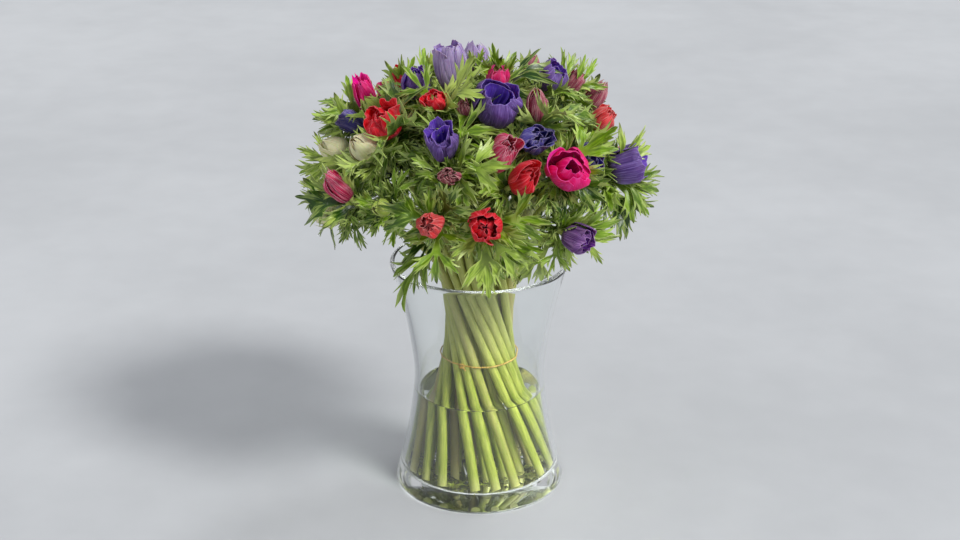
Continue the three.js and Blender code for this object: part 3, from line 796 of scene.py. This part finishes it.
STEM_ROUND = 14
STRAIGHT_STEPS = 15
BEND_STEPS = 13
RIDGE_DEPTH = 0.02
CUT_END = 0.97
stem_skins = {name: Skin() for name in node_names}
for flower in flowers:
    foot_point, leave, heading, bend = stem_course(flower)
    number = flower.number
    straight = [foot_point + (leave - foot_point) * t for t in np.linspace(0, 1, STRAIGHT_STEPS)]
    curved = bezier(bend, np.linspace(0, 1, BEND_STEPS))[1:]
    up = [flower.ruff + flower.axis * d for d in (3, 6, PEDICEL_LENGTH - TOUCH_GAP)]
    line = np.concatenate([straight, curved, up])
    top = flower.stem_radius * STRAIGHT_TAPER
    radii = np.concatenate([
        np.linspace(flower.stem_radius, top, STRAIGHT_STEPS),
        np.linspace(top, NECK_RADIUS, BEND_STEPS)[1:],
        [NECK_RADIUS - 0.2, NECK_RADIUS - 0.3, NECK_RADIUS],
    ])
    radii = radii * between(0.9, 1.0, number, 61)
    radii[0] *= CUT_END
    skin = stem_skins[flower.node]
    add_tube(skin, line, radii, STEM_ROUND, chance(number, 71), RIDGE_DEPTH, number)
stem_look = stem_material()
for name, skin in stem_skins.items():
    skin.build(name.replace("leafy_stems", "stems"), stem_look, "stems_and_leaves", [name], sharp=70)

# Cut leaves

SPLIT_IN_FIVE = 22
STRAP_HALF = 1.6
LEAF_HALF = 0.24
LOBE_EDGES = {  # by fingers on a side: share of the lobe's length, and half width
    1: [
        (0.2, 1.2), (0.4, 2.5), (0.56, 3.4), (0.82, 5.6), (0.74, 3.0), (0.64, 1.6), (0.82, 1.8),
        (0.94, 1.0),
    ],
    2: [
        (0.18, 1.3), (0.34, 2.6), (0.48, 4.1), (0.68, 7.2), (0.62, 4.8), (0.55, 3.3), (0.7, 3.8),
        (0.9, 5.2), (0.79, 2.8), (0.67, 1.5), (0.84, 1.8), (0.94, 1.0),
    ],
}


def lobe_side(seed, fingers, breadth):
    """One edge of a lobe that widens and ends in fingers, from its neck to near its tip"""
    shift = 0.06 * (chance(seed, 0) - 0.5)
    edge = []
    for i, (share, width) in enumerate(LOBE_EDGES[fingers]):
        slide = shift if 0.4 < share < 0.9 else 0
        edge.append((share + slide, width * breadth * between(0.85, 1.15, seed, i + 1)))
    return edge


def leaf_template(seed, plan, breadth):
    """A cut leaf laid flat, with lobes that fork off its middle; each point knows its place on its lobe"""
    points, rows, rim, spines = [], [], [], []
    middle = len(plan) // 2
    lobes = []
    for fork, x, y in plan:
        origin = fork * BRACT_LENGTH
        angle = atan2(y, x - fork)
        lobes.append((origin, cos(angle), sin(angle), hypot(x - fork, y) * BRACT_LENGTH))

    def put(lobe, s, w):
        origin, c, d, length = lobes[lobe]
        points.append((origin + s * c - w * d, s * d + w * c))
        rows.append((lobe, s, w, max(0, origin + s) / (origin + length)))
        return len(points) - 1

    def put_on_middle(x, w):
        return put(middle, x - lobes[middle][0], w)

    for i, (origin, _, _, length) in enumerate(lobes):
        if i < middle:
            start = 0 if i == 0 else (lobes[i - 1][0] + origin) / 2
            rim.append(put_on_middle(start, -STRAP_HALF))
        fingers = 2 if length > SPLIT_IN_FIVE else 1
        for sign in (-1, 1):
            side = [(s * length, w) for s, w in lobe_side(seed * 31 + i * 7 + sign, fingers, breadth)]
            if sign == 1:
                side = side[::-1]
            rim += [put(i, s, sign * w) for s, w in side]
            if sign == -1:
                rim.append(put(i, length, 0.0))
        if i > middle:
            start = 0 if i == len(lobes) - 1 else (lobes[i + 1][0] + origin) / 2
            rim.append(put_on_middle(start, STRAP_HALF))
    hub = put_on_middle(1.0, 0.0)
    strap_places = np.arange(0.12, 0.42, 0.1) * lobes[middle][0] / 0.45
    strap = [hub] + [put_on_middle(x, 0.0) for x in strap_places]
    spines += list(zip(strap, strap[1:]))
    for i, (_, _, _, length) in enumerate(lobes):
        spine = [put(i, length * s, 0.0) for s in np.arange(0.14, 0.95, 0.16)]
        spines += list(zip(spine, spine[1:]))
    corners = [Vector(p) for p in points]
    out, _, triangles, origins, _, _ = delaunay_2d_cdt(corners, spines, [rim], 1, 1e-4)
    kept = np.array([
        rows[source[0]] if source else (middle, x - lobes[middle][0], y, max(0, x) / BRACT_LENGTH)
        for (x, y), source in zip(out, origins)
    ])
    sided = {(a, b) for t in triangles for a, b in zip(t, t[1:] + t[:1])}
    border = [(a, b) for a, b in sorted(sided) if (b, a) not in sided]
    on_rim = np.zeros(len(out))
    on_rim[[a for a, _ in border]] = 1
    return SimpleNamespace(
        flat=np.array([tuple(v) for v in out]), triangles=np.array(triangles), border=np.array(border),
        lobe=kept[:, 0].astype(int), s=kept[:, 1], w=kept[:, 2], run=kept[:, 3], rim=on_rim,
        lobes=np.array(lobes),
    )


def add_leaf(skin, leaf, middle, turned, size, seed, liveliness, droop):
    """A cut leaf in its place: arched, folded, hanging by droop, each lobe bent and twisted its own way"""
    x, y = (leaf.flat / BRACT_LENGTH).T
    lift = BRACT_ARCH * x * (1 - x) + BRACT_FOLD * np.abs(y)
    lobe, s, w = leaf.lobe, np.maximum(leaf.s / BRACT_LENGTH, 0), leaf.w / BRACT_LENGTH
    lobes = len(leaf.lobes)
    scatter = np.array([[chance(seed * 17 + i, k) * 2 - 1 for i in range(lobes)] for k in range(4)])[:, lobe]
    away = smooth(0.05, 0.6, s)
    sway = scatter[0] * 0.1 * away * liveliness
    curl = (scatter[1] * 0.24 - 0.05) * away**1.3 * liveliness
    twist = scatter[2] * 1.2 * away * liveliness
    fingers_bend = scatter[3] * 14 * w * w * away
    channel = 0.45 * np.abs(w) * smooth(0, 0.15, s) * (1 - 0.4 * away)
    c, d = leaf.lobes[lobe, 1], leaf.lobes[lobe, 2]
    moved = w * (np.cos(twist) - 1) + sway
    flat = np.column_stack([x - moved * d, y + moved * c])
    height = lift + curl + w * np.sin(twist) + fingers_bend + channel
    bent = max(droop, 1e-3)
    turn = bent * np.maximum(flat[:, 0], 0)
    forward = np.where(flat[:, 0] > 0, np.sin(turn) / bent, flat[:, 0]) + height * np.sin(turn)
    up = -(1 - np.cos(turn)) / bent + height * np.cos(turn)
    points = middle + np.column_stack([forward, flat[:, 1], up]) * BRACT_LENGTH * size @ turned.T
    triangles, border, count = leaf.triangles, leaf.border, len(points)
    corner = points[triangles]
    face = np.cross(corner[:, 1] - corner[:, 0], corner[:, 2] - corner[:, 0])
    normal = np.zeros_like(points)
    for k in range(3):
        np.add.at(normal, triangles[:, k], face)
    normal /= np.maximum(np.linalg.norm(normal, axis=1, keepdims=True), 1e-9)
    rim = np.column_stack([border[:, 0], border[:, 1], border[:, 1] + count, border[:, 0] + count])
    grain = np.column_stack([w, leaf.run, np.full(count, chance(seed, 21))])
    under = np.column_stack([leaf.rim, np.zeros((count, 2))])
    upper = np.column_stack([leaf.rim, np.ones(count), np.zeros(count)])
    skin.add(
        np.concatenate([points - normal * LEAF_HALF, points + normal * LEAF_HALF]),
        [triangles + count, triangles[:, ::-1], rim],
        np.concatenate([grain, grain]), np.concatenate([under, upper]),
    )


def pointing(flower, azimuth, from_top, frontwards=0.0):
    """Axes of a leaf that points that way, its upper face to the bloom or partly to the front"""
    way = along(azimuth, from_top)
    across = unit(np.cross(flower.axis + np.array([0, -frontwards, 0]), way))
    return np.column_stack([way, across, np.cross(way, across)])



BREADTHS = (1.05, 0.85, 1.2, 0.75, 1.0, 1.3)
FULL_PLAN = [(fork, *tip) for fork, tip in zip((0.1, 0.4, 0.45, 0.4, 0.1), BRACT_TIPS)]
WIDE_PLAN = [(0.03, 0.2, -0.56), (0.22, 0.6, -0.46), (0.3, 0.88, 0), (0.22, 0.62, 0.48), (0.03, 0.2, 0.56)]
SMALL_PLAN = [(0.24, 0.62, -0.34), (0.32, 0.92, 0), (0.24, 0.62, 0.34)]
FULL = [leaf_template(k, FULL_PLAN, b) for k, b in enumerate(BREADTHS)]
WIDE = [leaf_template(k + 20, WIDE_PLAN, b) for k, b in enumerate(BREADTHS)]
SMALL = [leaf_template(k + 40, SMALL_PLAN, b) for k, b in enumerate(BREADTHS)]
EXTRA_SIDES = (1, 3, 5, 0, 2, 4, 1, 3, 5, 0, 2)
LOW_FROM = 8
FEW_LOW_LEAVES = (20, 22, 29, 30, 31)
NO_INNER_LEAVES = (22, 29, 31)
SHORTER = {  # the share that the leaves below some blooms have of their full size
    4: 0.7, 5: 0.6, 8: 0.7, 9: 0.7, 10: 0.6, 12: 0.4, 13: 0.6, 19: 0.55, 20: 0.65, 22: 0.85,
    29: 0.8, 30: 0.5, 31: 0.6, 34: 0.6, 35: 0.6, 37: 0.6, 43: 0.7,
}
SPRAYS = [  # anemone, azimuth and angle from the top that the leaf points to, size, droop
    (19, 90, 108, 1.05, 0.2), (19, 88, 150, 1.15, 0.1), (19, 84, 122, 1.0, 0.3),
    (19, 76, 146, 0.95, 0.4), (19, 92, 44, 1.0, 0.2), (17, 70, 110, 0.8, 0.4),
    (20, 80, 78, 0.95, 0.3), (20, 90, 60, 0.8, 0.3), (20, -88, 142, 1.1, 0.2),
    (20, 90, 104, 0.95, 0.2), (21, 60, 140, 1.0, 0.3), (21, 75, 128, 1.0, 0.2),
    (9, -60, 4, 0.85, 0.1), (9, 90, 46, 0.85, 0.2), (6, 10, 4, 0.85, 0.1),
    (6, 80, 22, 0.75, 0.1), (5, 20, 16, 0.6, 0.1), (2, -60, 14, 0.8, 0.1),
    (1, -92, 60, 1.0, 0.2), (1, -92, 84, 1.0, 0.2), (26, -92, 66, 1.0, 0.2),
    (27, -90, 82, 0.9, 0.2), (27, -90, 100, 0.95, 0.2), (29, -88, 84, 0.95, 0.1),
    (29, -92, 62, 0.9, 0.2), (29, -20, 168, 0.7, 0.2), (31, -80, 120, 0.6, 0.2),
    (32, -25, 58, 0.5, 0.1), (32, 45, 62, 0.5, 0.1),
]
INNER_SHARES = (0.7, 0.82, 0.92)
HANGING_WIDTH = 0.7
HANGING = [  # anemone, share of its stem's bend, azimuth, size, droop: leaves that hang over the vase's rim
    (31, 0.3, -42, 1.3, 1.75),
    (31, 0.42, -24, 1.1, 1.6),
]
SCRAPS = 140
SCRAPS_REACH = 60
leaf_skins = {name: Skin() for name in node_names}
for flower in flowers:
    number, axis, skin = flower.number, flower.axis, leaf_skins[flower.node]
    for i, (root, length, rise, turn) in enumerate(flower.bracts):
        seed = number * 10 + i
        middle, turned = posture(root, axis, turn, rise)
        size = length * SHORTER.get(number, 1)
        droop = between(0, 0.6, seed, 8)
        add_leaf(skin, FULL[seed % len(FULL)], middle, turned, size, seed, 1.3, droop)
    for i, side in enumerate(EXTRA_SIDES[:LOW_FROM] if number in FEW_LOW_LEAVES else EXTRA_SIDES):
        seed = number * 10 + i + 1000
        rise = between(-28, 24, seed, 5) if i < LOW_FROM else between(-58, -26, seed, 5)
        middle, turned = posture(bract_root(flower, side), axis, between(-44, 44, seed, 6), rise)
        turned = turned @ spin("X", between(-35, 35, seed, 9))
        kinds = WIDE if i % 3 == 0 else SMALL
        size = between(0.45, 0.75, seed, 7) * SHORTER.get(number, 1)
        droop = between(0, 1.1, seed, 8)
        add_leaf(skin, kinds[seed % len(kinds)], middle, turned, size, seed, 1.3, droop)
    for i, share in enumerate(() if number in NO_INNER_LEAVES else INNER_SHARES):
        seed = number * 10 + i + 4000
        start = bezier(stem_course(flower)[3], share)[0]
        azimuth = flower.azimuth + between(-90, 90, seed, 6)
        turned = pointing(flower, azimuth, between(60, 105, seed, 5))
        kinds = WIDE if i % 2 else FULL
        size = between(0.5, 0.75, seed, 7)
        add_leaf(skin, kinds[seed % len(kinds)], start, turned, size, seed, 1.2, 0.4)
for i, (number, azimuth, from_top, size, droop) in enumerate(SPRAYS):
    flower = flowers[number - 1]
    skin, turned = leaf_skins[flower.node], pointing(flower, azimuth, from_top, 1.0)
    add_leaf(skin, FULL[i % len(FULL)], flower.ruff, turned, size, i + 2000, 1.0, droop)
for i, (number, share, azimuth, size, droop) in enumerate(HANGING):
    flower = flowers[number - 1]
    start = bezier(stem_course(flower)[3], share)[0]
    way, up = along(azimuth, 90), np.array([0, 0, 1.0])
    turned = np.column_stack([way, HANGING_WIDTH * np.cross(up, way), up])
    add_leaf(leaf_skins[flower.node], SMALL[i], start, turned, size, i + 3000, 0.8, droop)
scraps = Skin()
for i in range(SCRAPS):
    a, r = TAU * chance(i, 51), SCRAPS_REACH * sqrt(between(0.15, 0.9, i, 52))
    place = np.array([r * sin(a), -r * cos(a), FLOOR_HEIGHT + between(0.8, 6, i, 53)])
    turned = spin("Z", between(0, 360, i, 54)) @ spin("X", between(-25, 25, i, 55))
    size = between(0.14, 0.26, i, 56)
    add_leaf(scraps, SMALL[i % len(SMALL)], place, turned, size, i + 5000, 0.8, 0.4)
leaf_look = leaf_material()
scraps.build("leaf_scraps", scrap_material(), "stems_and_leaves", sharp=50)
for name, skin in leaf_skins.items():
    skin.build(name.replace("leafy_stems", "leaves"), leaf_look, "stems_and_leaves", [name], sharp=50)

# Blooms

# The look of each form, and of the blooms by number that differ from it: crumple is the depth of the folds,
# inner the number of inner petals and inner_tip how far their tips stand out. The petals on the side that
# stands gives are longer by lopsided; squeeze flattens a bloom across that side, and flare opens its tips.
LOOKS = {
    "wider": {
        1: 1.15, 3: 1.15, 4: 1.22, 7: 1.12, 8: 1.15, 14: 1.2, 15: 1.15, 19: 1.1, 25: 1.15, 26: 1.15,
    },
    "taller": {1: 1.1, 4: 0.95},
    "crumple": {
        "bud": 0.4, "closed": 1.0, "cup": 0.8, "open": 1.0, 1: 2.2, 2: 1.4, 3: 1.4, 4: 1.7, 6: 1.9,
        7: 1.8, 8: 1.8, 9: 1.4, 13: 2.0, 14: 2.4, 15: 1.8, 16: 1.3, 17: 1.7, 18: 1.8, 19: 1.8, 20: 1.5,
        21: 1.9, 22: 2.4, 23: 1.8, 24: 2.0, 25: 2.4, 26: 1.6, 29: 1.9, 32: 2.0,
    },
    "inner": {
        "bud": 3, "closed": 4, "cup": 2, "open": 2, 4: 3, 7: 2, 8: 3, 14: 4, 17: 2, 19: 2, 20: 3, 21: 5,
        22: 5, 23: 5, 24: 2, 26: 2, 32: 2,
    },
    "inner_tip": {
        "bud": 0.45, "closed": 0.45, "cup": 0.5, "open": 0.4, 3: 0.6, 4: 0.7, 7: 0.6, 16: 0.3, 17: 0.35,
        19: 0.6, 21: 0.2, 22: 0.25, 23: 0.3, 25: 0.4, 32: 0.6,
    },
    "lopsided": {
        "bud": 0.1, "closed": 0.3, "cup": 0.3, "open": 0.35, 1: 0.55, 4: 0.1, 7: 0.4, 8: 0.5, 15: 0.4,
        16: 0.4, 17: 0.45, 19: 0.4, 20: 0.35, 24: 0.4, 25: 0.3, 26: 0.4,
    },
    "stands": {
        1: 160, 6: 40, 7: 160, 8: 40, 13: 30, 14: 5, 15: 50, 16: 60, 17: 150, 18: 80, 19: 60, 20: 60,
        21: 130, 22: 30, 23: 0, 24: 110, 25: 20, 26: 35, 29: 120,
    },
    "squeeze": {
        "bud": 0.12, "closed": 0.18, "cup": 0.15, "open": 0.15, 1: 0.3, 4: 0, 7: 0.05, 8: 0.12,
        13: 0.15, 14: 0.25, 15: 0.25, 16: 0.25, 17: 0.1, 19: 0, 21: 0.05, 22: 0.1, 23: 0.3, 25: 0,
        26: 0.4, 29: 0.25,
    },
    "flare": {
        "bud": 1, "closed": 1, "cup": 1.05, "open": 1, 1: 1.2, 2: 1.2, 3: 1.3, 4: 1.4, 6: 1.4, 7: 1.4,
        9: 1.4, 13: 1.4, 14: 1.2, 15: 1.4, 19: 1.4, 20: 1.1, 21: 1.05, 22: 1.5, 23: 1.5, 24: 1.2,
        25: 1.9, 29: 1.2,
    },
}
FLAT_TOPS = {1, 2, 3, 4, 6, 13, 15, 17, 22, 25, 29}
ACROSS, ALONG = 13, 14
CORE_PETALS = 3
CENTRE_SIDES = 20


def look_of(flower):
    """Each part of a bloom's look: its own value, else its form's, else the plain one"""
    plain = {"wider": 1, "taller": 1, "stands": 360 * chance(flower.number, 8)}
    return SimpleNamespace(**{
        part: values.get(flower.number, values.get(flower.form, plain.get(part)))
        for part, values in LOOKS.items()
    })


def bloom_basis(flower):
    axis = flower.axis
    side = np.cross([0, 0, 1.0], axis)
    if np.linalg.norm(side) < UPRIGHT_LEAN:
        side = np.array([1.0, 0, 0])
    side = unit(side)
    front = np.cross(axis, side)
    angle = chance(flower.number, 7) * pi
    x = side * cos(angle) + front * sin(angle)
    return np.column_stack([x, np.cross(axis, x), axis])


def in_bloom(flower, points):
    """Points given on the bloom's own axes, put in their place"""
    return flower.base + points @ flower.basis.T


def cup_line(foot, belly, tip, v):
    """Radius and height along a petal's middle, from the bloom's foot over its belly to its tip"""
    lower = bezier([foot, (belly[0] * 0.98, foot[1] + 0.12 * belly[1]), belly], np.clip(v * 2, 0, 1))
    rise = tip[1] - belly[1]
    upper = bezier([belly, (belly[0], belly[1] + 0.5 * rise), tip], np.clip(v * 2 - 1, 0, 1))
    return np.where((v < 0.5)[:, None], lower, upper).T


def add_petal(skin, flower, middle, span, foot, belly, tip, seed, crumple, wide):
    """One petal round the bloom's axis; span is its half width at the belly as an angle"""
    blunt = FORMS[flower.form][3]
    spread = np.sin(np.linspace(-1, 1, ACROSS) * pi / 2)
    u, v = np.meshgrid(spread, np.linspace(0, 1, ALONG))
    shoulder, power, bow = (0.6, 2.2, 0.6) if blunt else (0.46, 1.7, 0.8)
    if flower.number in FLAT_TOPS:
        shoulder, power, bow = 0.74, 3.2, 0.4
    run = v * (shoulder + (1 - shoulder) * (1 - np.abs(u) ** power) ** bow)
    wild = max(0, crumple - 0.7)
    run = run * (1 - 0.05 * crumple * v**4 * np.abs(np.sin(4.5 * u + TAU * chance(seed, 14))))
    tip = (tip[0] * (1 - 0.5 * wild * chance(seed, 11)), tip[1] * (1 - 0.12 * wild * chance(seed, 12)))
    r, z = (q.reshape(u.shape) for q in cup_line(foot, belly, tip, run.ravel()))
    taper = np.clip((run - 0.5) / 0.5, 0, 1)
    width = (0.72 + 0.28 * smooth(0, 0.5, run)) * (1 - (0.1 if blunt else 0.35) * taper**1.6) * wide
    phase = [TAU * chance(seed, i) for i in range(8)]
    folds = (
        np.sin(2.4 * u + 2.8 * run + phase[0]) * 0.55
        + np.sin(4.1 * u - 2.4 * run + phase[1]) * 0.4
        + np.sin(1.5 * u + 5.6 * run + phase[2]) * 0.35
    )
    crease = 0.45 - np.abs(np.sin(2.9 * u + 1.3 * run + phase[7]))
    ruffle = np.sin(8.0 * run + 3.0 * np.sign(u) + phase[3]) * np.abs(u) ** 4
    lip = np.sin(5.2 * u + phase[4]) * run**6
    push = (folds + 0.9 * crease) * smooth(0.05, 0.6, run) + 0.5 * lip
    push = push + 0.45 * ruffle * smooth(0.2, 0.7, run)
    r = r + crumple * push + 0.75 * u * smooth(0, 0.4, run) - 0.9 * u * u * smooth(0, 0.5, run)
    z = z + crumple * 0.6 * np.sin(3.3 * u + phase[5]) * run**3
    angle = middle + u * span * width + crumple * 0.02 * np.sin(7 * run + phase[6]) * run
    angle = angle + 0.3 * wild * (chance(seed, 13) - 0.5) * run
    corners = np.cos(3 * angle + TAU * chance(flower.number, 15)) * smooth(0.3, 1, run)
    r = r * (1 + 0.06 * crumple * corners)
    r = np.maximum(r, 0.35)
    local = np.stack([r * np.cos(angle), r * np.sin(angle), z], axis=2)
    thick = 0.55 - 0.25 * np.maximum(np.abs(u), v) ** 3
    tone = chance(seed, 33)
    grain = np.stack([u, run, np.full(u.shape, tone)], axis=2)
    edge = np.maximum(np.abs(u) ** 4, v**8)
    add_sheet(skin, in_bloom(flower, local), thick, grain, edge)


def add_receptacle(skin, flower):
    """The dark floor of the cup that the petals stand on"""
    radius, height = flower.radius * BLOOM_BASE, flower.height
    line = [(1.0, 0.0), (1.02, 0.03), (0.85, 0.07), (0.5, 0.1)]
    if FORMS[flower.form][3]:
        line += [(0.42, 0.12), (0.4, 0.2), (0.3, 0.27), (0.16, 0.3)]
    line = np.array(line) * (radius, height)
    ends = in_bloom(flower, np.array([(0, 0, 0), (0, 0, line[-1][1] + 0.3)]))
    add_rings(skin, in_bloom(flower, turned_rings(line, CENTRE_SIDES)), ends)


centres = Skin()
petal_looks = {name: petal_material("petals_" + name, *row) for name, row in PETALS.items()}
for flower in flowers:
    number, height, form = flower.number, flower.height, flower.form
    look = look_of(flower)
    belly, tip, petals, _ = FORMS[form]
    tip *= look.flare
    radius = flower.radius * look.wider
    narrowing = max(0.9, 1 - 0.4 * (look.flare - 1))
    outstanding = radians(look.stands) - chance(number, 7) * pi
    squeeze = Matrix.Diagonal((1 + 0.4 * look.squeeze, 1 - look.squeeze, 1))
    turned = spin("Z", degrees(outstanding))
    flower.basis = bloom_basis(flower) @ turned @ np.array(squeeze) @ turned.T
    skin = Skin()
    half = pi / petals
    for k in range(petals):
        step = 0 if k % 2 == 0 else -PETAL_STEP
        belly_height = height * (belly + PETAL_SCATTER["belly"] * (chance(number, k) - 0.5))
        tip_height = height * (1 - PETAL_SCATTER["height"] * chance(number, k + 20))
        reach = radius * (tip + PETAL_SCATTER["tip"] * (chance(number, k + 40) - 0.5)) + step
        stand = look.lopsided * cos(2 * k * half - outstanding)
        reach = min(reach * (1 + stand), radius * 1.25)
        tip_height *= (1 + 0.25 * min(stand, 0.1)) * look.taller
        belly_radius = radius * narrowing * (1 + 0.2 * min(stand, 0)) + step
        add_petal(
            skin, flower, 2 * k * half, half, (BLOOM_BASE * radius + 0.25 * step, 0),
            (belly_radius, belly_height), (max(LEAST_TIP_RADIUS, reach), tip_height),
            number * 20 + k, look.crumple, 1.6,
        )
    for k in range(look.inner):
        angle = TAU * (k + 0.5 + 0.3 * chance(number, k + 80)) / look.inner
        shrink = (0.82 if form == "bud" else 0.6) - 0.04 * k
        stand = look.lopsided * cos(angle - outstanding)
        tall = height * between(0.84, 0.93, number, k + 90) * (1 + 0.2 * min(stand, 0))
        reach = max(LEAST_TIP_RADIUS, radius * tip * look.inner_tip * (1 + stand))
        add_petal(
            skin, flower, angle, pi / look.inner, (BLOOM_BASE * radius * 0.5, 0.4),
            (radius * shrink, height * belly), (reach, tall), number * 20 + k + 10, look.crumple, 1.3,
        )
    for k in range(CORE_PETALS if look.inner > 3 or form == "bud" else 0):
        angle = TAU * (k + chance(number, 82)) / CORE_PETALS
        tall = height * between(0.7, 0.85, number, k + 84)
        add_petal(
            skin, flower, angle, pi / CORE_PETALS, (BLOOM_BASE * radius * 0.3, 0.6),
            (radius * 0.34, height * belly), (radius * 0.2, tall), number * 20 + k + 16,
            look.crumple * 0.7, 1.2,
        )
    add_receptacle(centres, flower)
    node = f"bloom_{number:02d}"
    material = petal_looks[flower.colour]
    skin.build(node + "_petals", material, "petals_" + flower.colour, [node], sharp=70)
dark_centre = mottled_material("flower_centres", 900.0, 2.0, "120c1c", "2e2244", 0.6, 0.0006, Roughness=0.7)
centres.build("flower_centres", dark_centre, "petals_navy")

# Floor, light and camera

FLOOR_SIZE = 12
FOCAL_PIXELS = 1700
IMAGE_WIDTH = 960
CAMERA_PLACE = (0.0007, -1.329, 0.724)
CAMERA_DOWN = 21.75
MOST_BOUNCES = 64


def floor_material():
    s = Shader("pale_floor")
    cloud = s.noise(s.here(), 1.6, 5.0, 0.6)
    fine = s.noise(s.here(), 18.0, 4.0)
    mottle = s.plus(s.times(cloud, 0.8), s.times(fine, 0.2))
    body = s.layers(tint("b6b9bd"), (mottle, 0.3, 0.7, 1.0, "c3c6ca"))
    return s.set(Base_Color=body, Roughness=0.85, Specular_IOR_Level=0.2)


h = FLOOR_SIZE / 2
floor_mesh = bpy.data.meshes.new("floor")
floor_mesh.from_pydata([(-h, -h, 0), (h, -h, 0), (h, h, 0), (-h, h, 0)], [], [(0, 1, 2, 3)])
floor_mesh.materials.append(floor_material())
floor = put_in_scene("floor", floor_mesh)


def add_sun(name, direction, angle, power, colour):
    data = bpy.data.lights.new(name, "SUN")
    data.angle, data.energy, data.color = radians(angle), power, colour
    put_in_scene(name, data).rotation_euler = Vector(direction).to_track_quat("-Z", "Y").to_euler()


add_sun("soft_window", (-0.62, 0.42, -0.72), 15, 2.25, (1, 0.985, 0.955))
add_sun("back_window", (-0.35, -0.5, -1), 12, 0.55, (1, 1, 1))

world = bpy.data.worlds.new("studio")
scene.world = world
world.use_nodes = True
background = world.node_tree.nodes["Background"]
background.inputs["Color"].default_value = (0.95, 0.965, 1, 1)
background.inputs["Strength"].default_value = 0.52

camera_data = bpy.data.cameras.new("camera")
camera_data.sensor_width = 36
camera_data.lens = FOCAL_PIXELS / IMAGE_WIDTH * camera_data.sensor_width
camera_data.clip_start = 0.05
camera = put_in_scene("camera", camera_data)
camera.location = CAMERA_PLACE
camera.rotation_euler = (radians(90 - CAMERA_DOWN), 0, 0)
scene.camera = camera
scene.view_settings.view_transform = "Standard"
# Light runs down inside the glass wall from the rim, which takes many turns
for kind_of_bounce in ("max_bounces", "transmission_bounces", "glossy_bounces"):
    setattr(scene.cycles, kind_of_bounce, MOST_BOUNCES)
